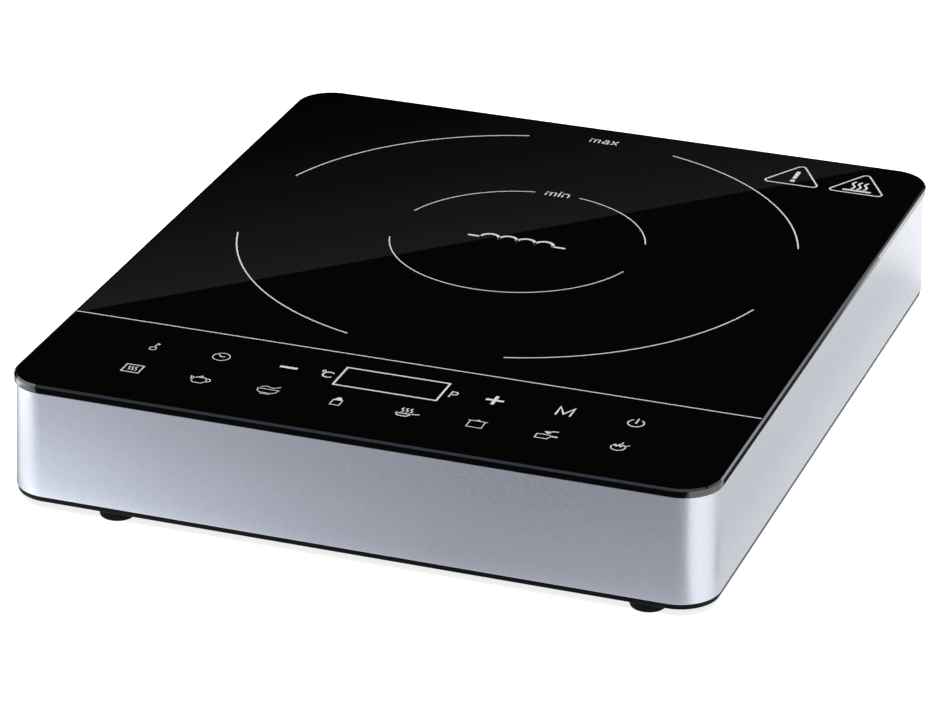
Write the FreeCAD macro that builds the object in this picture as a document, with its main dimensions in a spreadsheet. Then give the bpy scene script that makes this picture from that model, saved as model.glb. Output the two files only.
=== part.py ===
import FreeCAD, Part
import math
import os
from types import SimpleNamespace

import Sketcher
from FreeCAD import Rotation, Vector

# Portable single-zone induction hob. Millimetres.
# Origin: on the bench, under the middle of the hob. +X right, +Y to the back, +Z up.
# The user stands at -Y, where the touch keys are.

DIMENSIONS = {
    # Glass plate
    "glass_width": 320,
    "glass_depth": 368,
    "glass_thick": 4,
    "glass_corner": 18,
    "glass_facet": 0.8,
    "glass_ease": 0.4,
    # Side housing: a drafted band with a ledge for the glass
    "band_height": 49.3,
    "band_overhung": 1.1,
    "band_flare": 1.6,
    "wall": 2.5,
    "ledge_width": 12,
    "ledge_thick": 2.5,
    "ledge_drop": 1,
    "ledge_rim": 2,
    "ledge_corner": 6,
    "case_boss_radius": 4.5,
    "case_boss_x": 152,
    "case_boss_y": 150,
    "case_boss_foot": 15,
    "case_pilot_radius": 1.55,
    # Rear wall of the housing: exhaust slots and the recess of the cord inlet
    "exhaust_slot_width": 3,
    "exhaust_slot_height": 20,
    "exhaust_pitch": 7,
    "exhaust_count": 27,
    "exhaust_first_x": -112,
    "exhaust_z": 32,
    "inlet_x": 118,
    "inlet_z": 30,
    "inlet_recess": 24,
    "inlet_recess_depth": 6,
    "inlet_block": 28,
    "inlet_block_depth": 9,
    "inlet_seat": 12.6,
    # Cord inlet bushing
    "bushing_flange_radius": 9,
    "bushing_flange": 2.5,
    "bushing_radius": 6.25,
    "bushing_bore": 3.7,
    "bushing_length": 11,
    # Base tray
    "foot_height": 5.4,
    "tray_lip": 2.55,
    "tray_inset": 0.6,
    "tray_thick": 3.1,
    "tray_rim_height": 6.5,
    "tray_rim_wall": 2,
    "tray_clearance": 0.5,
    "post_radius": 4.5,
    "post_gap": 0.1,
    "counterbore_radius": 3.8,
    "counterbore_depth": 5,
    "screw_hole_radius": 1.7,
    "vent_slot_width": 3.6,
    "vent_slot_length": 34,
    "vent_pitch": 7,
    "vent_count": 11,
    "rear_vent_x": 20,
    "rear_vent_y": 158,
    "rear_vent_length": 22,
    "rear_vent_count": 17,
    # Feet
    "foot_radius": 8,
    "foot_rounding": 1.2,
    "foot_recess": 1,
    "foot_spigot_radius": 2.4,
    "foot_spigot": 4,
    "foot_left_x": -111,
    "foot_right_x": 131,
    "foot_front_y": -173,
    "foot_rear_y": 165,
    # Rating plate
    "plate_width": 80,
    "plate_depth": 45,
    "plate_thick": 0.2,
    "plate_x": 60,
    "plate_y": -70,
    # Fan
    "fan_x": -98,
    "fan_y": 88,
    "fan_lift": 2,
    "fan_size": 80,
    "fan_depth": 25,
    "fan_corner": 5,
    "fan_duct_radius": 38,
    "fan_hole_pitch": 71.5,
    "fan_hole_radius": 2.15,
    "fan_plate_radius": 17,
    "fan_plate_thick": 2.5,
    "fan_strut_width": 5,
    "bearing_tube_radius": 4.6,
    "bearing_tube_top": 18,
    "bearing_radius": 3.5,
    "bearing_floor": 1,
    "shaft_radius": 1.5,
    "shaft_clearance": 0.05,
    "shaft_foot": 1.3,
    "shaft_top": 20.6,
    "hub_radius": 16,
    "hub_inside": 14.7,
    "hub_foot": 3.2,
    "hub_roof": 19.7,
    "hub_top": 21.5,
    "hub_boss_radius": 3.2,
    "hub_boss_foot": 18.4,
    "blade_tip": 35.5,
    "blade_chord": 22,
    "blade_thick": 1.4,
    "blade_tilt": 35,
    "blade_middle": 12.5,
    "blade_count": 7,
    "magnet_inside": 12.8,
    "magnet_foot": 4,
    "magnet_top": 16,
    "pole_count": 4,
    "pole_tip": 11.2,
    "pole_width": 11,
    "pole_shoe": 1.7,
    "pole_arm": 4,
    "winding_wrap": 1.5,
    "stator_ring": 6.5,
    "stator_foot": 5,
    "stator_top": 15,
    # Induction coil and what carries it
    "zone_y": 38.3,
    "carrier_radius": 98,
    "carrier_foot": 48,
    "carrier_thick": 2,
    "carrier_rim": 2.5,
    "carrier_hole": 14,
    "carrier_window_inner": 30,
    "carrier_window_outer": 84,
    "carrier_window_width": 9,
    "lug_reach": 103,
    "lug_radius": 6.5,
    "coil_post_radius": 5,
    "coil_outer": 92,
    "coil_inner": 20,
    "coil_height": 4.4,
    "ferrite_count": 8,
    "ferrite_inner": 26,
    "ferrite_length": 60,
    "ferrite_width": 14,
    "ferrite_height": 4.5,
    "mica_radius": 97,
    "mica_thick": 0.5,
    "felt_radius": 96,
    "felt_thick": 2.1,
    "sensor_window": 11,
    "sensor_holder_radius": 8,
    "sensor_radius": 3,
    "sensor_height": 1.2,
    # Power board and what stands on it
    "board_x": 48,
    "board_y": 66,
    "board_width": 190,
    "board_depth": 130,
    "board_thick": 1.6,
    "standoff": 5,
    "standoff_radius": 4,
    "board_hole_inset": 6,
    "sink_length": 84,
    "sink_x": 2,
    "sink_y": 64,
    "sink_plate": 5,
    "sink_fin_length": 43,
    "sink_fin": 1.6,
    "sink_height": 23,
    "sink_fin_count": 5,
    "transistor_x": -18,
    "transistor_width": 16,
    "transistor_thick": 5,
    "transistor_height": 20,
    "rectifier_x": 20,
    "rectifier_width": 30,
    "leg_height": 2.4,
    "leg_width": 1,
    "device_screw_drop": 6,
    "link_capacitor_x": 80,
    "link_capacitor_y": 104,
    "link_capacitor_length": 38,
    "link_capacitor_width": 18,
    "link_capacitor_height": 26,
    "tank_capacitor_y": 78,
    "tank_capacitor_length": 31,
    "tank_capacitor_width": 15,
    "tank_capacitor_height": 24,
    "filter_capacitor_x": 122,
    "filter_capacitor_y": 98,
    "filter_capacitor_length": 26,
    "filter_capacitor_width": 12,
    "filter_capacitor_height": 20,
    "choke_x": 119,
    "choke_y": 62,
    "choke_mean_radius": 13,
    "choke_core_width": 8,
    "choke_core_height": 12,
    "choke_loop_radius": 8.4,
    "choke_wire_radius": 0.8,
    "choke_turns": 12,
    "fuse_x": 128,
    "fuse_y": 20,
    "fuse_radius": 2.6,
    "fuse_length": 20,
    "fuse_clip_reach": 7.7,
    "varistor_x": 106,
    "varistor_radius": 6.5,
    "varistor_thick": 4,
    "terminal_x": 124,
    "terminal_y": 119,
    "terminal_width": 20,
    "terminal_depth": 12,
    "terminal_height": 13,
    "transformer_x": 66,
    "small_parts_y": 34,
    "transformer_width": 18,
    "transformer_core": 6,
    "transformer_cheek": 12,
    "transformer_height": 16,
    "can_x": 38,
    "can_pitch": 12,
    "can_radius": 5,
    "can_height": 16,
    "buzzer_x": 10,
    "buzzer_radius": 6,
    "buzzer_height": 8,
    "socket_x": -38,
    "socket_width": 6,
    "socket_depth": 8,
    "socket_height": 7,
    "fan_socket_y": 50,
    "sensor_socket_y": 30,
    "ribbon_socket_y": 8,
    "coil_tab_x": 60,
    "coil_tab_y": 10,
    "coil_tab_gap": 16,
    "coil_tab_height": 9,
    # Control board under the key panel
    "panel_y": -141,
    "panel_board_width": 252,
    "panel_board_depth": 50,
    "panel_board_foot": 46,
    "panel_holder_thick": 2,
    "panel_holder_rim": 2,
    "panel_shelf_length": 126,
    "panel_shelf_width": 4,
    "board_play": 0.2,
    "panel_leg_radius": 4,
    "panel_leg_x": 118,
    "panel_leg_y": 19,
    "key_pitch": 31.6,
    "key_upper_y": -128.7,
    "key_lower_y": -153.3,
    "key_pad_radius": 4,
    "display_width": 48,
    "display_depth": 19,
    "display_height": 8.5,
    "chip_side": 10,
    "chip_height": 1.4,
    # Screws
    "screw_head_radius": 3,
    "screw_head_height": 2.2,
    "screw_radius": 1.5,
    "case_screw_length": 16,
    "short_screw_length": 7,
    "fan_screw_length": 30,
    # Leads
    "coil_lead_radius": 1.8,
    "thin_lead_radius": 1.1,
    "fan_lead_exit": 26.7,
    "lead_edge": 74,
    "lead_step": 7,
    "ribbon_width": 14,
    "ribbon_thick": 1,
    "ribbon_flat_run": 30,
    "ribbon_landing": 20,
    "ribbon_rise": 12,
}


class Size:
    """A length that carries both its formula on the sheet and its present value."""

    def __init__(self, formula, value):
        self.formula = formula
        self.value = value

    def joined(self, sign, other, value, other_first=False):
        terms = [self.formula, formula_of(other)]
        if other_first:
            terms.reverse()
        return Size(f"({terms[0]} {sign} {terms[1]})", value)

    def __add__(self, other):
        return self.joined("+", other, self.value + value_of(other))

    def __sub__(self, other):
        return self.joined("-", other, self.value - value_of(other))

    def __rsub__(self, other):
        return self.joined("-", other, value_of(other) - self.value, other_first=True)

    def __mul__(self, other):
        return self.joined("*", other, self.value * value_of(other))

    def __truediv__(self, other):
        return self.joined("/", other, self.value / value_of(other))

    def __neg__(self):
        return 0 - self

    __radd__ = __add__
    __rmul__ = __mul__


def formula_of(size):
    return size.formula if isinstance(size, Size) else f"({size:.6f})"


def value_of(size):
    return size.value if isinstance(size, Size) else size


doc = FreeCAD.newDocument("induction_hob")
sheet = doc.addObject("Spreadsheet::Sheet", "dims")
for row, (alias, number) in enumerate(DIMENSIONS.items(), start=1):
    sheet.set(f"A{row}", alias)
    sheet.set(f"B{row}", str(number))
    sheet.setAlias(f"B{row}", alias)
doc.recompute()
dim = SimpleNamespace(**{alias: Size(f"dims.{alias}", number) for alias, number in DIMENSIONS.items()})
nodes = []


# ---------------------------------------------------------------- levels shared by many pieces

TRAY_INSIDE = dim.foot_height + dim.tray_thick
BAND_BOTTOM = dim.foot_height + dim.tray_lip
GLASS_BOTTOM = BAND_BOTTOM + dim.band_height
LEDGE_BOTTOM = GLASS_BOTTOM - dim.ledge_drop - dim.ledge_thick
BAND_TOP_WIDTH = dim.glass_width - 2 * dim.band_overhung
BAND_TOP_DEPTH = dim.glass_depth - 2 * dim.band_overhung
BAND_BOTTOM_WIDTH = BAND_TOP_WIDTH + 2 * dim.band_flare
BAND_BOTTOM_DEPTH = BAND_TOP_DEPTH + 2 * dim.band_flare
BAND_BOTTOM_CORNER = dim.glass_corner - dim.band_overhung + dim.band_flare
BOARD_BOTTOM = TRAY_INSIDE + dim.standoff
BOARD_TOP = BOARD_BOTTOM + dim.board_thick
FAN_BOTTOM = TRAY_INSIDE + dim.fan_lift
COIL_BOTTOM = dim.carrier_foot + dim.carrier_thick
COIL_TOP = COIL_BOTTOM + dim.coil_height
PANEL_TOP = dim.panel_board_foot + dim.board_thick
CASE_POINTS = [(dim.case_boss_x * x, dim.case_boss_y * y) for x in (-1, 1) for y in (-1, 0, 1)]
FOOT_POINTS = [
    (x, y)
    for x in (dim.foot_left_x, dim.foot_right_x) for y in (dim.foot_front_y, dim.foot_rear_y)
]
FAN_POINTS = [
    (dim.fan_x + dim.fan_hole_pitch / 2 * x, dim.fan_y + dim.fan_hole_pitch / 2 * y)
    for x in (-1, 1) for y in (-1, 1)
]
BOARD_POINTS = [
    (dim.board_x + (dim.board_width / 2 - dim.board_hole_inset) * x,
     dim.board_y + (dim.board_depth / 2 - dim.board_hole_inset) * y)
    for x in (-1, 1) for y in (-1, 1)
]
PANEL_POINTS = [(dim.panel_leg_x * x, dim.panel_y + dim.panel_leg_y * y) for x in (-1, 1) for y in (-1, 1)]
POST_POINTS = CASE_POINTS + PANEL_POINTS
KEY_COLUMNS = 8
BEND_SHARE = 0.45
SAME_LEVEL = 0.01
LUG_ANGLES = [math.radians(angle) for angle in (90, 210, 330)]
LUG_POINTS = [
    (dim.lug_reach * math.cos(angle), dim.zone_y + dim.lug_reach * math.sin(angle))
    for angle in LUG_ANGLES
]


# ---------------------------------------------------------------- helpers: placing and sketching

def bind(piece, **sizes):
    """Tie properties to formulas; a double underscore in a name stands for a dot."""
    for path, size in sizes.items():
        piece.setExpression(path.replace("__", "."), formula_of(size))


def place(piece, x=0, y=0, z=0):
    bind(piece, Placement__Base__x=x, Placement__Base__y=y, Placement__Base__z=z)
    return piece


def node(piece, label):
    """Register a finished piece under the name of its file."""
    piece.Label = label
    nodes.append(piece)
    return piece


def new_body(label):
    return node(doc.addObject("PartDesign::Body", f"{label}_body"), label)


def datum(body, role):
    return next(feature for feature in body.Origin.OriginFeatures if feature.Role == role)


def new_sketch(body, level=0, role="XY_Plane"):
    """A sketch on one of the body's own planes, moved along that plane's normal."""
    sketch = body.newObject("Sketcher::SketchObject", "Sketch")
    sketch.AttachmentSupport = [(datum(body, role), "")]
    sketch.MapMode = "FlatFace"
    bind(sketch, AttachmentOffset__Base__z=level)
    return sketch


def constrain(sketch, size, kind, *where):
    index = sketch.addConstraint(Sketcher.Constraint(kind, *where, value_of(size)))
    sketch.setExpression(f"Constraints[{index}]", formula_of(size))


def pin_point(sketch, geometry, point, x, y):
    """Hold a point of the geometry at x, y from the sketch's origin."""
    for kind, size in (("DistanceX", x), ("DistanceY", y)):
        if value_of(size) == 0:
            axis = -2 if kind == "DistanceX" else -1
            sketch.addConstraint(Sketcher.Constraint("PointOnObject", geometry, point, axis))
        elif value_of(size) > 0:
            constrain(sketch, size, kind, -1, 1, geometry, point)
        else:
            constrain(sketch, -size, kind, geometry, point, -1, 1)


def draw_circle(sketch, radius, x=0, y=0):
    centre = Vector(value_of(x), value_of(y), 0)
    index = sketch.addGeometry(Part.Circle(centre, Vector(0, 0, 1), value_of(radius)))
    constrain(sketch, radius, "Radius", index)
    pin_point(sketch, index, 3, x, y)


def draw_lines(sketch, corners):
    """A closed outline with every corner held where its sizes say."""
    points = [Vector(value_of(x), value_of(y), 0) for x, y in corners]
    first = sketch.GeometryCount
    for start, end in zip(points, points[1:] + points[:1]):
        sketch.addGeometry(Part.LineSegment(start, end))
    for side, (x, y) in enumerate(corners):
        following = first + (side + 1) % len(corners)
        sketch.addConstraint(Sketcher.Constraint("Coincident", first + side, 2, following, 1))
        pin_point(sketch, first + side, 1, x, y)


def draw_rectangle(sketch, width, depth, x=0, y=0):
    half_width, half_depth = width / 2, depth / 2
    signs = ((-1, -1), (1, -1), (1, 1), (-1, 1))
    draw_lines(sketch, [(x + half_width * sx, y + half_depth * sy) for sx, sy in signs])


def draw_rounded_rectangle(sketch, width, depth, radius):
    """A rectangle about the sketch's origin, its four corners arcs of one radius."""
    half_width, half_depth, corner = value_of(width) / 2, value_of(depth) / 2, value_of(radius)
    centres = [
        Vector(sx * (half_width - corner), sy * (half_depth - corner), 0)
        for sx, sy in ((1, -1), (1, 1), (-1, 1), (-1, -1))
    ]
    arcs = []
    for quarter, centre in enumerate(centres):
        start = math.radians(90 * quarter - 90)
        circle = Part.Circle(centre, Vector(0, 0, 1), corner)
        arcs.append(sketch.addGeometry(Part.ArcOfCircle(circle, start, start + math.pi / 2)))
    sides = []
    for arc, following in zip(arcs, arcs[1:] + arcs[:1]):
        start = sketch.getPoint(arc, 2)
        end = sketch.getPoint(following, 1)
        side = sketch.addGeometry(Part.LineSegment(start, end))
        sketch.addConstraint(Sketcher.Constraint("Tangent", arc, 2, side, 1))
        sketch.addConstraint(Sketcher.Constraint("Tangent", side, 2, following, 1))
        sides.append(side)
    for side, kind in zip(sides, ("Vertical", "Horizontal", "Vertical", "Horizontal")):
        sketch.addConstraint(Sketcher.Constraint(kind, side))
    for arc in arcs[1:]:
        sketch.addConstraint(Sketcher.Constraint("Equal", arcs[0], arc))
    constrain(sketch, radius, "Radius", arcs[0])
    sketch.addConstraint(Sketcher.Constraint("Symmetric", arcs[0], 3, arcs[2], 3, -1, 1))
    constrain(sketch, width / 2 - radius, "DistanceX", -1, 1, arcs[1], 3)
    constrain(sketch, depth / 2 - radius, "DistanceY", -1, 1, arcs[1], 3)


# ---------------------------------------------------------------- helpers: features

def volume(body):
    doc.recompute()
    return 0 if body.Shape.isNull() else body.Shape.Volume


def add_feature(body, kind, sketch, length=None, draft=None, flip=False):
    """Pad or cut a sketch, and stop if the body's volume doesn't change the right way."""
    before = volume(body) if body.Tip else 0
    feature = body.newObject(f"PartDesign::{kind}", kind)
    feature.Profile = sketch
    feature.Reversed = flip
    if length is not None:
        bind(feature, Length=length)
    if draft is not None:
        feature.setExpression("TaperAngle", draft)
    sketch.Visibility = False
    change = volume(body) - before
    grows = kind in ("Pad", "Revolution", "AdditiveLoft")
    if (change > 0) != grows or abs(change) < 1e-6:
        raise RuntimeError(f"{body.Label}: {kind} changed the volume by {change:.3f}")
    return feature


def pad(body, sketch, length, draft=None, flip=False):
    return add_feature(body, "Pad", sketch, length, draft, flip)


def pocket(body, sketch, length, draft=None, flip=False):
    return add_feature(body, "Pocket", sketch, length, draft, flip)


def revolve(body, sketch):
    """Turn a sketch drawn on the XZ plane once about the body's own Z axis."""
    feature = body.newObject("PartDesign::Revolution", "Revolution")
    feature.Profile = sketch
    feature.ReferenceAxis = (datum(body, "Z_Axis"), [""])
    feature.Angle = 360
    doc.recompute()
    return feature


def repeat_in_circle(body, feature, count):
    """Repeat a feature about the body's own Z axis."""
    pattern = body.newObject("PartDesign::PolarPattern", "PolarPattern")
    pattern.Originals = [feature]
    pattern.Axis = (datum(body, "Z_Axis"), [""])
    pattern.Angle = 360
    bind(pattern, Occurrences=count)
    body.Tip = pattern
    doc.recompute()
    return pattern


def repeat_in_line(body, feature, role, pitch, count):
    """Repeat a feature along one of the body's own axes."""
    pattern = body.newObject("PartDesign::LinearPattern", "LinearPattern")
    pattern.Originals = [feature]
    pattern.Direction = (datum(body, role), [""])
    bind(pattern, Length=pitch * (count - 1), Occurrences=count)
    body.Tip = pattern
    doc.recompute()
    return pattern


def edges_at(body, level, longest=0):
    """Names of the body's edges that lie at one height and reach a given length."""
    names = []
    for number, edge in enumerate(body.Shape.Edges, start=1):
        box = edge.BoundBox
        height = value_of(level)
        flat = abs(box.ZMin - height) < SAME_LEVEL and abs(box.ZMax - height) < SAME_LEVEL
        if flat and edge.Length >= longest:
            names.append(f"Edge{number}")
    return names


def round_edges(body, names, radius):
    base = body.Tip
    feature = body.newObject("PartDesign::Fillet", "Fillet")
    feature.Base = (base, names)
    bind(feature, Radius=radius)
    doc.recompute()
    return feature


def chamfer_edges(body, names, width):
    base = body.Tip
    feature = body.newObject("PartDesign::Chamfer", "Chamfer")
    feature.Base = (base, names)
    bind(feature, Size=width)
    doc.recompute()
    return feature


# ---------------------------------------------------------------- helpers: primitives

def block(length, width, height, x, y, z):
    """A box centred on x, y with its underside at z."""
    piece = doc.addObject("Part::Box", "Box")
    bind(piece, Length=length, Width=width, Height=height)
    return place(piece, x - length / 2, y - width / 2, z)


def cylinder(radius, height, x=0, y=0, z=0):
    piece = doc.addObject("Part::Cylinder", "Cylinder")
    bind(piece, Radius=radius, Height=height)
    return place(piece, x, y, z)


def turned(piece, axis, degrees):
    piece.Placement = FreeCAD.Placement(piece.Placement.Base, Rotation(axis, degrees))
    return piece


def cut(base, tool):
    piece = doc.addObject("Part::Cut", "Cut")
    piece.Base = base
    piece.Tool = tool
    return piece


def fuse(*parts):
    piece = doc.addObject("Part::MultiFuse", "Fusion")
    piece.Shapes = list(parts)
    return piece


def group(parts):
    """Separate solids that share one node."""
    piece = doc.addObject("Part::Compound", "Group")
    piece.Links = list(parts)
    return piece


def ring(outer, inner, height, x, y, z):
    return cut(cylinder(outer, height, x, y, z), cylinder(inner, height, x, y, z))


def screws(label, points, seat, length, head_up):
    """Identical pan-head screws; seat is the level under the heads."""
    made = []
    for x, y in points:
        if head_up:
            head_foot, shank_foot = seat, seat - length
        else:
            head_foot, shank_foot = seat - dim.screw_head_height, seat
        head = cylinder(dim.screw_head_radius, dim.screw_head_height, x, y, head_foot)
        shank = cylinder(dim.screw_radius, length, x, y, shank_foot)
        made.append(fuse(head, shank))
    return node(group(made), label)


def lead_path(points):
    """Straight runs joined by tangent arcs as large as the runs beside them allow."""
    edges = []
    start = points[0]
    for before, corner, after in zip(points, points[1:], points[2:]):
        toward, away = (before - corner), (after - corner)
        reach = BEND_SHARE * min(toward.Length, away.Length)
        toward.normalize()
        away.normalize()
        entry, leave = corner + toward * reach, corner + away * reach
        half_turn = (math.pi - toward.getAngle(away)) / 2
        radius = reach / math.tan(half_turn)
        inward = (toward + away).normalize()
        middle = corner + inward * (radius / math.cos(half_turn) - radius)
        edges.append(Part.LineSegment(start, entry).toShape())
        edges.append(Part.Arc(entry, middle, leave).toShape())
        start = leave
    edges.append(Part.LineSegment(start, points[-1]).toShape())
    return Part.Wire(edges)


def swept(path, profile):
    pipe = Part.BRepOffsetAPI.MakePipeShell(path)
    pipe.setTransitionMode(1)
    pipe.add(profile)
    pipe.build()
    pipe.makeSolid()
    return pipe.shape()


def lead(route, radius):
    """A round lead along a list of points, each a triple of sizes."""
    points = [Vector(*(value_of(size) for size in point)) for point in route]
    profile = Part.Wire(Part.makeCircle(value_of(radius), points[0], points[1] - points[0]))
    return swept(lead_path(points), profile)


def fixed_shape(label, shape):
    piece = doc.addObject("Part::Feature", label)
    piece.Shape = shape
    return node(piece, label)


# ---------------------------------------------------------------- outer case

def glass_plate():
    """Black glass with a ground facet round its top and a barely eased lower edge."""
    body = new_body("glass_plate")
    outline = new_sketch(body)
    draw_rounded_rectangle(outline, dim.glass_width, dim.glass_depth, dim.glass_corner)
    pad(body, outline, dim.glass_thick)
    round_edges(body, edges_at(body, 0), dim.glass_ease)
    chamfer_edges(body, edges_at(body, dim.glass_thick), dim.glass_facet)
    place(body, z=GLASS_BOTTOM)


def side_housing():
    """The silver band: drafted walls, a ledge for the glass, screw bosses and the rear wall."""
    body = new_body("side_housing")
    draft = f"-atan({formula_of(dim.band_flare / dim.band_height)})"
    outside = new_sketch(body, BAND_BOTTOM)
    draw_rounded_rectangle(outside, BAND_BOTTOM_WIDTH, BAND_BOTTOM_DEPTH, BAND_BOTTOM_CORNER)
    pad(body, outside, dim.band_height, draft)

    inside = new_sketch(body, BAND_BOTTOM)
    draw_rounded_rectangle(inside, BAND_BOTTOM_WIDTH - 2 * dim.wall, BAND_BOTTOM_DEPTH - 2 * dim.wall,
                           BAND_BOTTOM_CORNER - dim.wall)
    pocket(body, inside, LEDGE_BOTTOM - BAND_BOTTOM, draft, flip=True)

    seat = new_sketch(body, GLASS_BOTTOM)
    draw_rounded_rectangle(seat, BAND_TOP_WIDTH - 2 * dim.ledge_rim, BAND_TOP_DEPTH - 2 * dim.ledge_rim,
                           dim.glass_corner - dim.band_overhung - dim.ledge_rim)
    pocket(body, seat, dim.ledge_drop)

    opening = new_sketch(body, GLASS_BOTTOM)
    draw_rounded_rectangle(opening, BAND_TOP_WIDTH - 2 * dim.ledge_width,
                           BAND_TOP_DEPTH - 2 * dim.ledge_width, dim.ledge_corner)
    pocket(body, opening, dim.ledge_drop + dim.ledge_thick)

    bosses = new_sketch(body, dim.case_boss_foot)
    for x, y in CASE_POINTS:
        draw_circle(bosses, dim.case_boss_radius, x, y)
    pad(body, bosses, LEDGE_BOTTOM + dim.ledge_thick / 2 - dim.case_boss_foot)
    pilots = new_sketch(body, dim.case_boss_foot)
    for x, y in CASE_POINTS:
        draw_circle(pilots, dim.case_pilot_radius, x, y)
    pocket(body, pilots, dim.case_screw_length, flip=True)

    # The XZ plane's normal points to -Y, so a sketch behind the rear wall sits at minus its Y.
    behind = new_sketch(body, -(BAND_BOTTOM_DEPTH / 2), "XZ_Plane")
    wall_y = BAND_BOTTOM_DEPTH / 2 - dim.inlet_block_depth
    inlet_block = new_sketch(body, -wall_y, "XZ_Plane")
    draw_rectangle(inlet_block, dim.inlet_block, dim.inlet_block, dim.inlet_x, dim.inlet_z)
    pad(body, inlet_block, dim.inlet_block_depth - dim.wall, flip=True)
    draw_rectangle(behind, dim.inlet_recess, dim.inlet_recess, dim.inlet_x, dim.inlet_z)
    pocket(body, behind, dim.inlet_recess_depth, flip=True)
    seat_hole = new_sketch(body, -(BAND_BOTTOM_DEPTH / 2), "XZ_Plane")
    draw_rectangle(seat_hole, dim.inlet_seat, dim.inlet_seat, dim.inlet_x, dim.inlet_z)
    pocket(body, seat_hole, dim.inlet_block_depth, flip=True)

    slot = new_sketch(body, -(BAND_BOTTOM_DEPTH / 2), "XZ_Plane")
    draw_rectangle(slot, dim.exhaust_slot_width, dim.exhaust_slot_height,
                   dim.exhaust_first_x, dim.exhaust_z)
    first = pocket(body, slot, dim.wall * 2, flip=True)
    repeat_in_line(body, first, "X_Axis", dim.exhaust_pitch, dim.exhaust_count)


def glass_adhesive():
    """A flat bead of silicone between the ledge and the glass."""
    body = new_body("glass_adhesive")
    bead = new_sketch(body)
    inset = dim.ledge_rim + dim.ledge_drop
    draw_rounded_rectangle(bead, BAND_TOP_WIDTH - 2 * inset, BAND_TOP_DEPTH - 2 * inset,
                           dim.glass_corner - dim.band_overhung - inset)
    inner = dim.ledge_width - dim.ledge_drop
    draw_rounded_rectangle(bead, BAND_TOP_WIDTH - 2 * inner, BAND_TOP_DEPTH - 2 * inner,
                           dim.ledge_corner + dim.ledge_drop)
    pad(body, bead, dim.ledge_drop)
    place(body, z=GLASS_BOTTOM - dim.ledge_drop)


def circles_at(body, level, radius, points):
    sketch = new_sketch(body, level)
    for x, y in points:
        draw_circle(sketch, radius, x, y)
    return sketch


def base_tray():
    """The black tray that closes the case from below and carries everything inside."""
    body = new_body("base_tray")
    lip = new_sketch(body, dim.foot_height)
    draw_rounded_rectangle(lip, BAND_BOTTOM_WIDTH - 2 * dim.tray_inset,
                           BAND_BOTTOM_DEPTH - 2 * dim.tray_inset, BAND_BOTTOM_CORNER - dim.tray_inset)
    pad(body, lip, dim.tray_lip)
    round_edges(body, edges_at(body, dim.foot_height), dim.tray_inset)

    rim_inset = dim.wall + dim.tray_clearance
    rim = new_sketch(body, BAND_BOTTOM)
    draw_rounded_rectangle(rim, BAND_BOTTOM_WIDTH - 2 * rim_inset, BAND_BOTTOM_DEPTH - 2 * rim_inset,
                           BAND_BOTTOM_CORNER - rim_inset)
    pad(body, rim, dim.tray_rim_height)
    inside_inset = rim_inset + dim.tray_rim_wall
    inside = new_sketch(body, BAND_BOTTOM + dim.tray_rim_height)
    draw_rounded_rectangle(inside, BAND_BOTTOM_WIDTH - 2 * inside_inset,
                           BAND_BOTTOM_DEPTH - 2 * inside_inset, BAND_BOTTOM_CORNER - inside_inset)
    pocket(body, inside, BAND_BOTTOM + dim.tray_rim_height - TRAY_INSIDE)

    hidden = dim.tray_thick / 2
    root = TRAY_INSIDE - hidden
    post_top = dim.case_boss_foot - dim.post_gap
    pad(body, circles_at(body, root, dim.post_radius, POST_POINTS), post_top - root)
    pad(body, circles_at(body, root, dim.standoff_radius, BOARD_POINTS), dim.standoff + hidden)
    pad(body, circles_at(body, root, dim.standoff_radius, FAN_POINTS), dim.fan_lift + hidden)
    pad(body, circles_at(body, root, dim.coil_post_radius, LUG_POINTS), dim.carrier_foot - root)

    for radius, depth, points in (
        (dim.counterbore_radius, dim.counterbore_depth, POST_POINTS),
        (dim.screw_hole_radius, dim.case_boss_foot, POST_POINTS),
        (dim.foot_radius, dim.foot_recess, FOOT_POINTS),
        (dim.foot_spigot_radius, dim.tray_thick, FOOT_POINTS),
    ):
        pocket(body, circles_at(body, dim.foot_height, radius, points), depth, flip=True)
    for level, depth, points in (
        (BOARD_BOTTOM, dim.short_screw_length, BOARD_POINTS),
        (FAN_BOTTOM, dim.fan_lift + hidden, FAN_POINTS),
        (dim.carrier_foot, dim.short_screw_length, LUG_POINTS),
    ):
        pocket(body, circles_at(body, level, dim.case_pilot_radius, points), depth)

    rows = dim.vent_pitch * (dim.vent_count - 1)
    rib = dim.vent_slot_width
    for side in (-1, 1):
        slot = new_sketch(body, dim.foot_height)
        draw_rectangle(slot, dim.vent_slot_length, dim.vent_slot_width,
                       dim.fan_x + (dim.vent_slot_length + rib) / 2 * side, dim.fan_y - rows / 2)
        first = pocket(body, slot, dim.tray_thick, flip=True)
        repeat_in_line(body, first, "Y_Axis", dim.vent_pitch, dim.vent_count)
    rear_run = dim.vent_pitch * (dim.rear_vent_count - 1)
    slot = new_sketch(body, dim.foot_height)
    draw_rectangle(slot, dim.vent_slot_width, dim.rear_vent_length,
                   dim.rear_vent_x - rear_run / 2, dim.rear_vent_y)
    first = pocket(body, slot, dim.tray_thick, flip=True)
    repeat_in_line(body, first, "X_Axis", dim.vent_pitch, dim.rear_vent_count)


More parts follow.
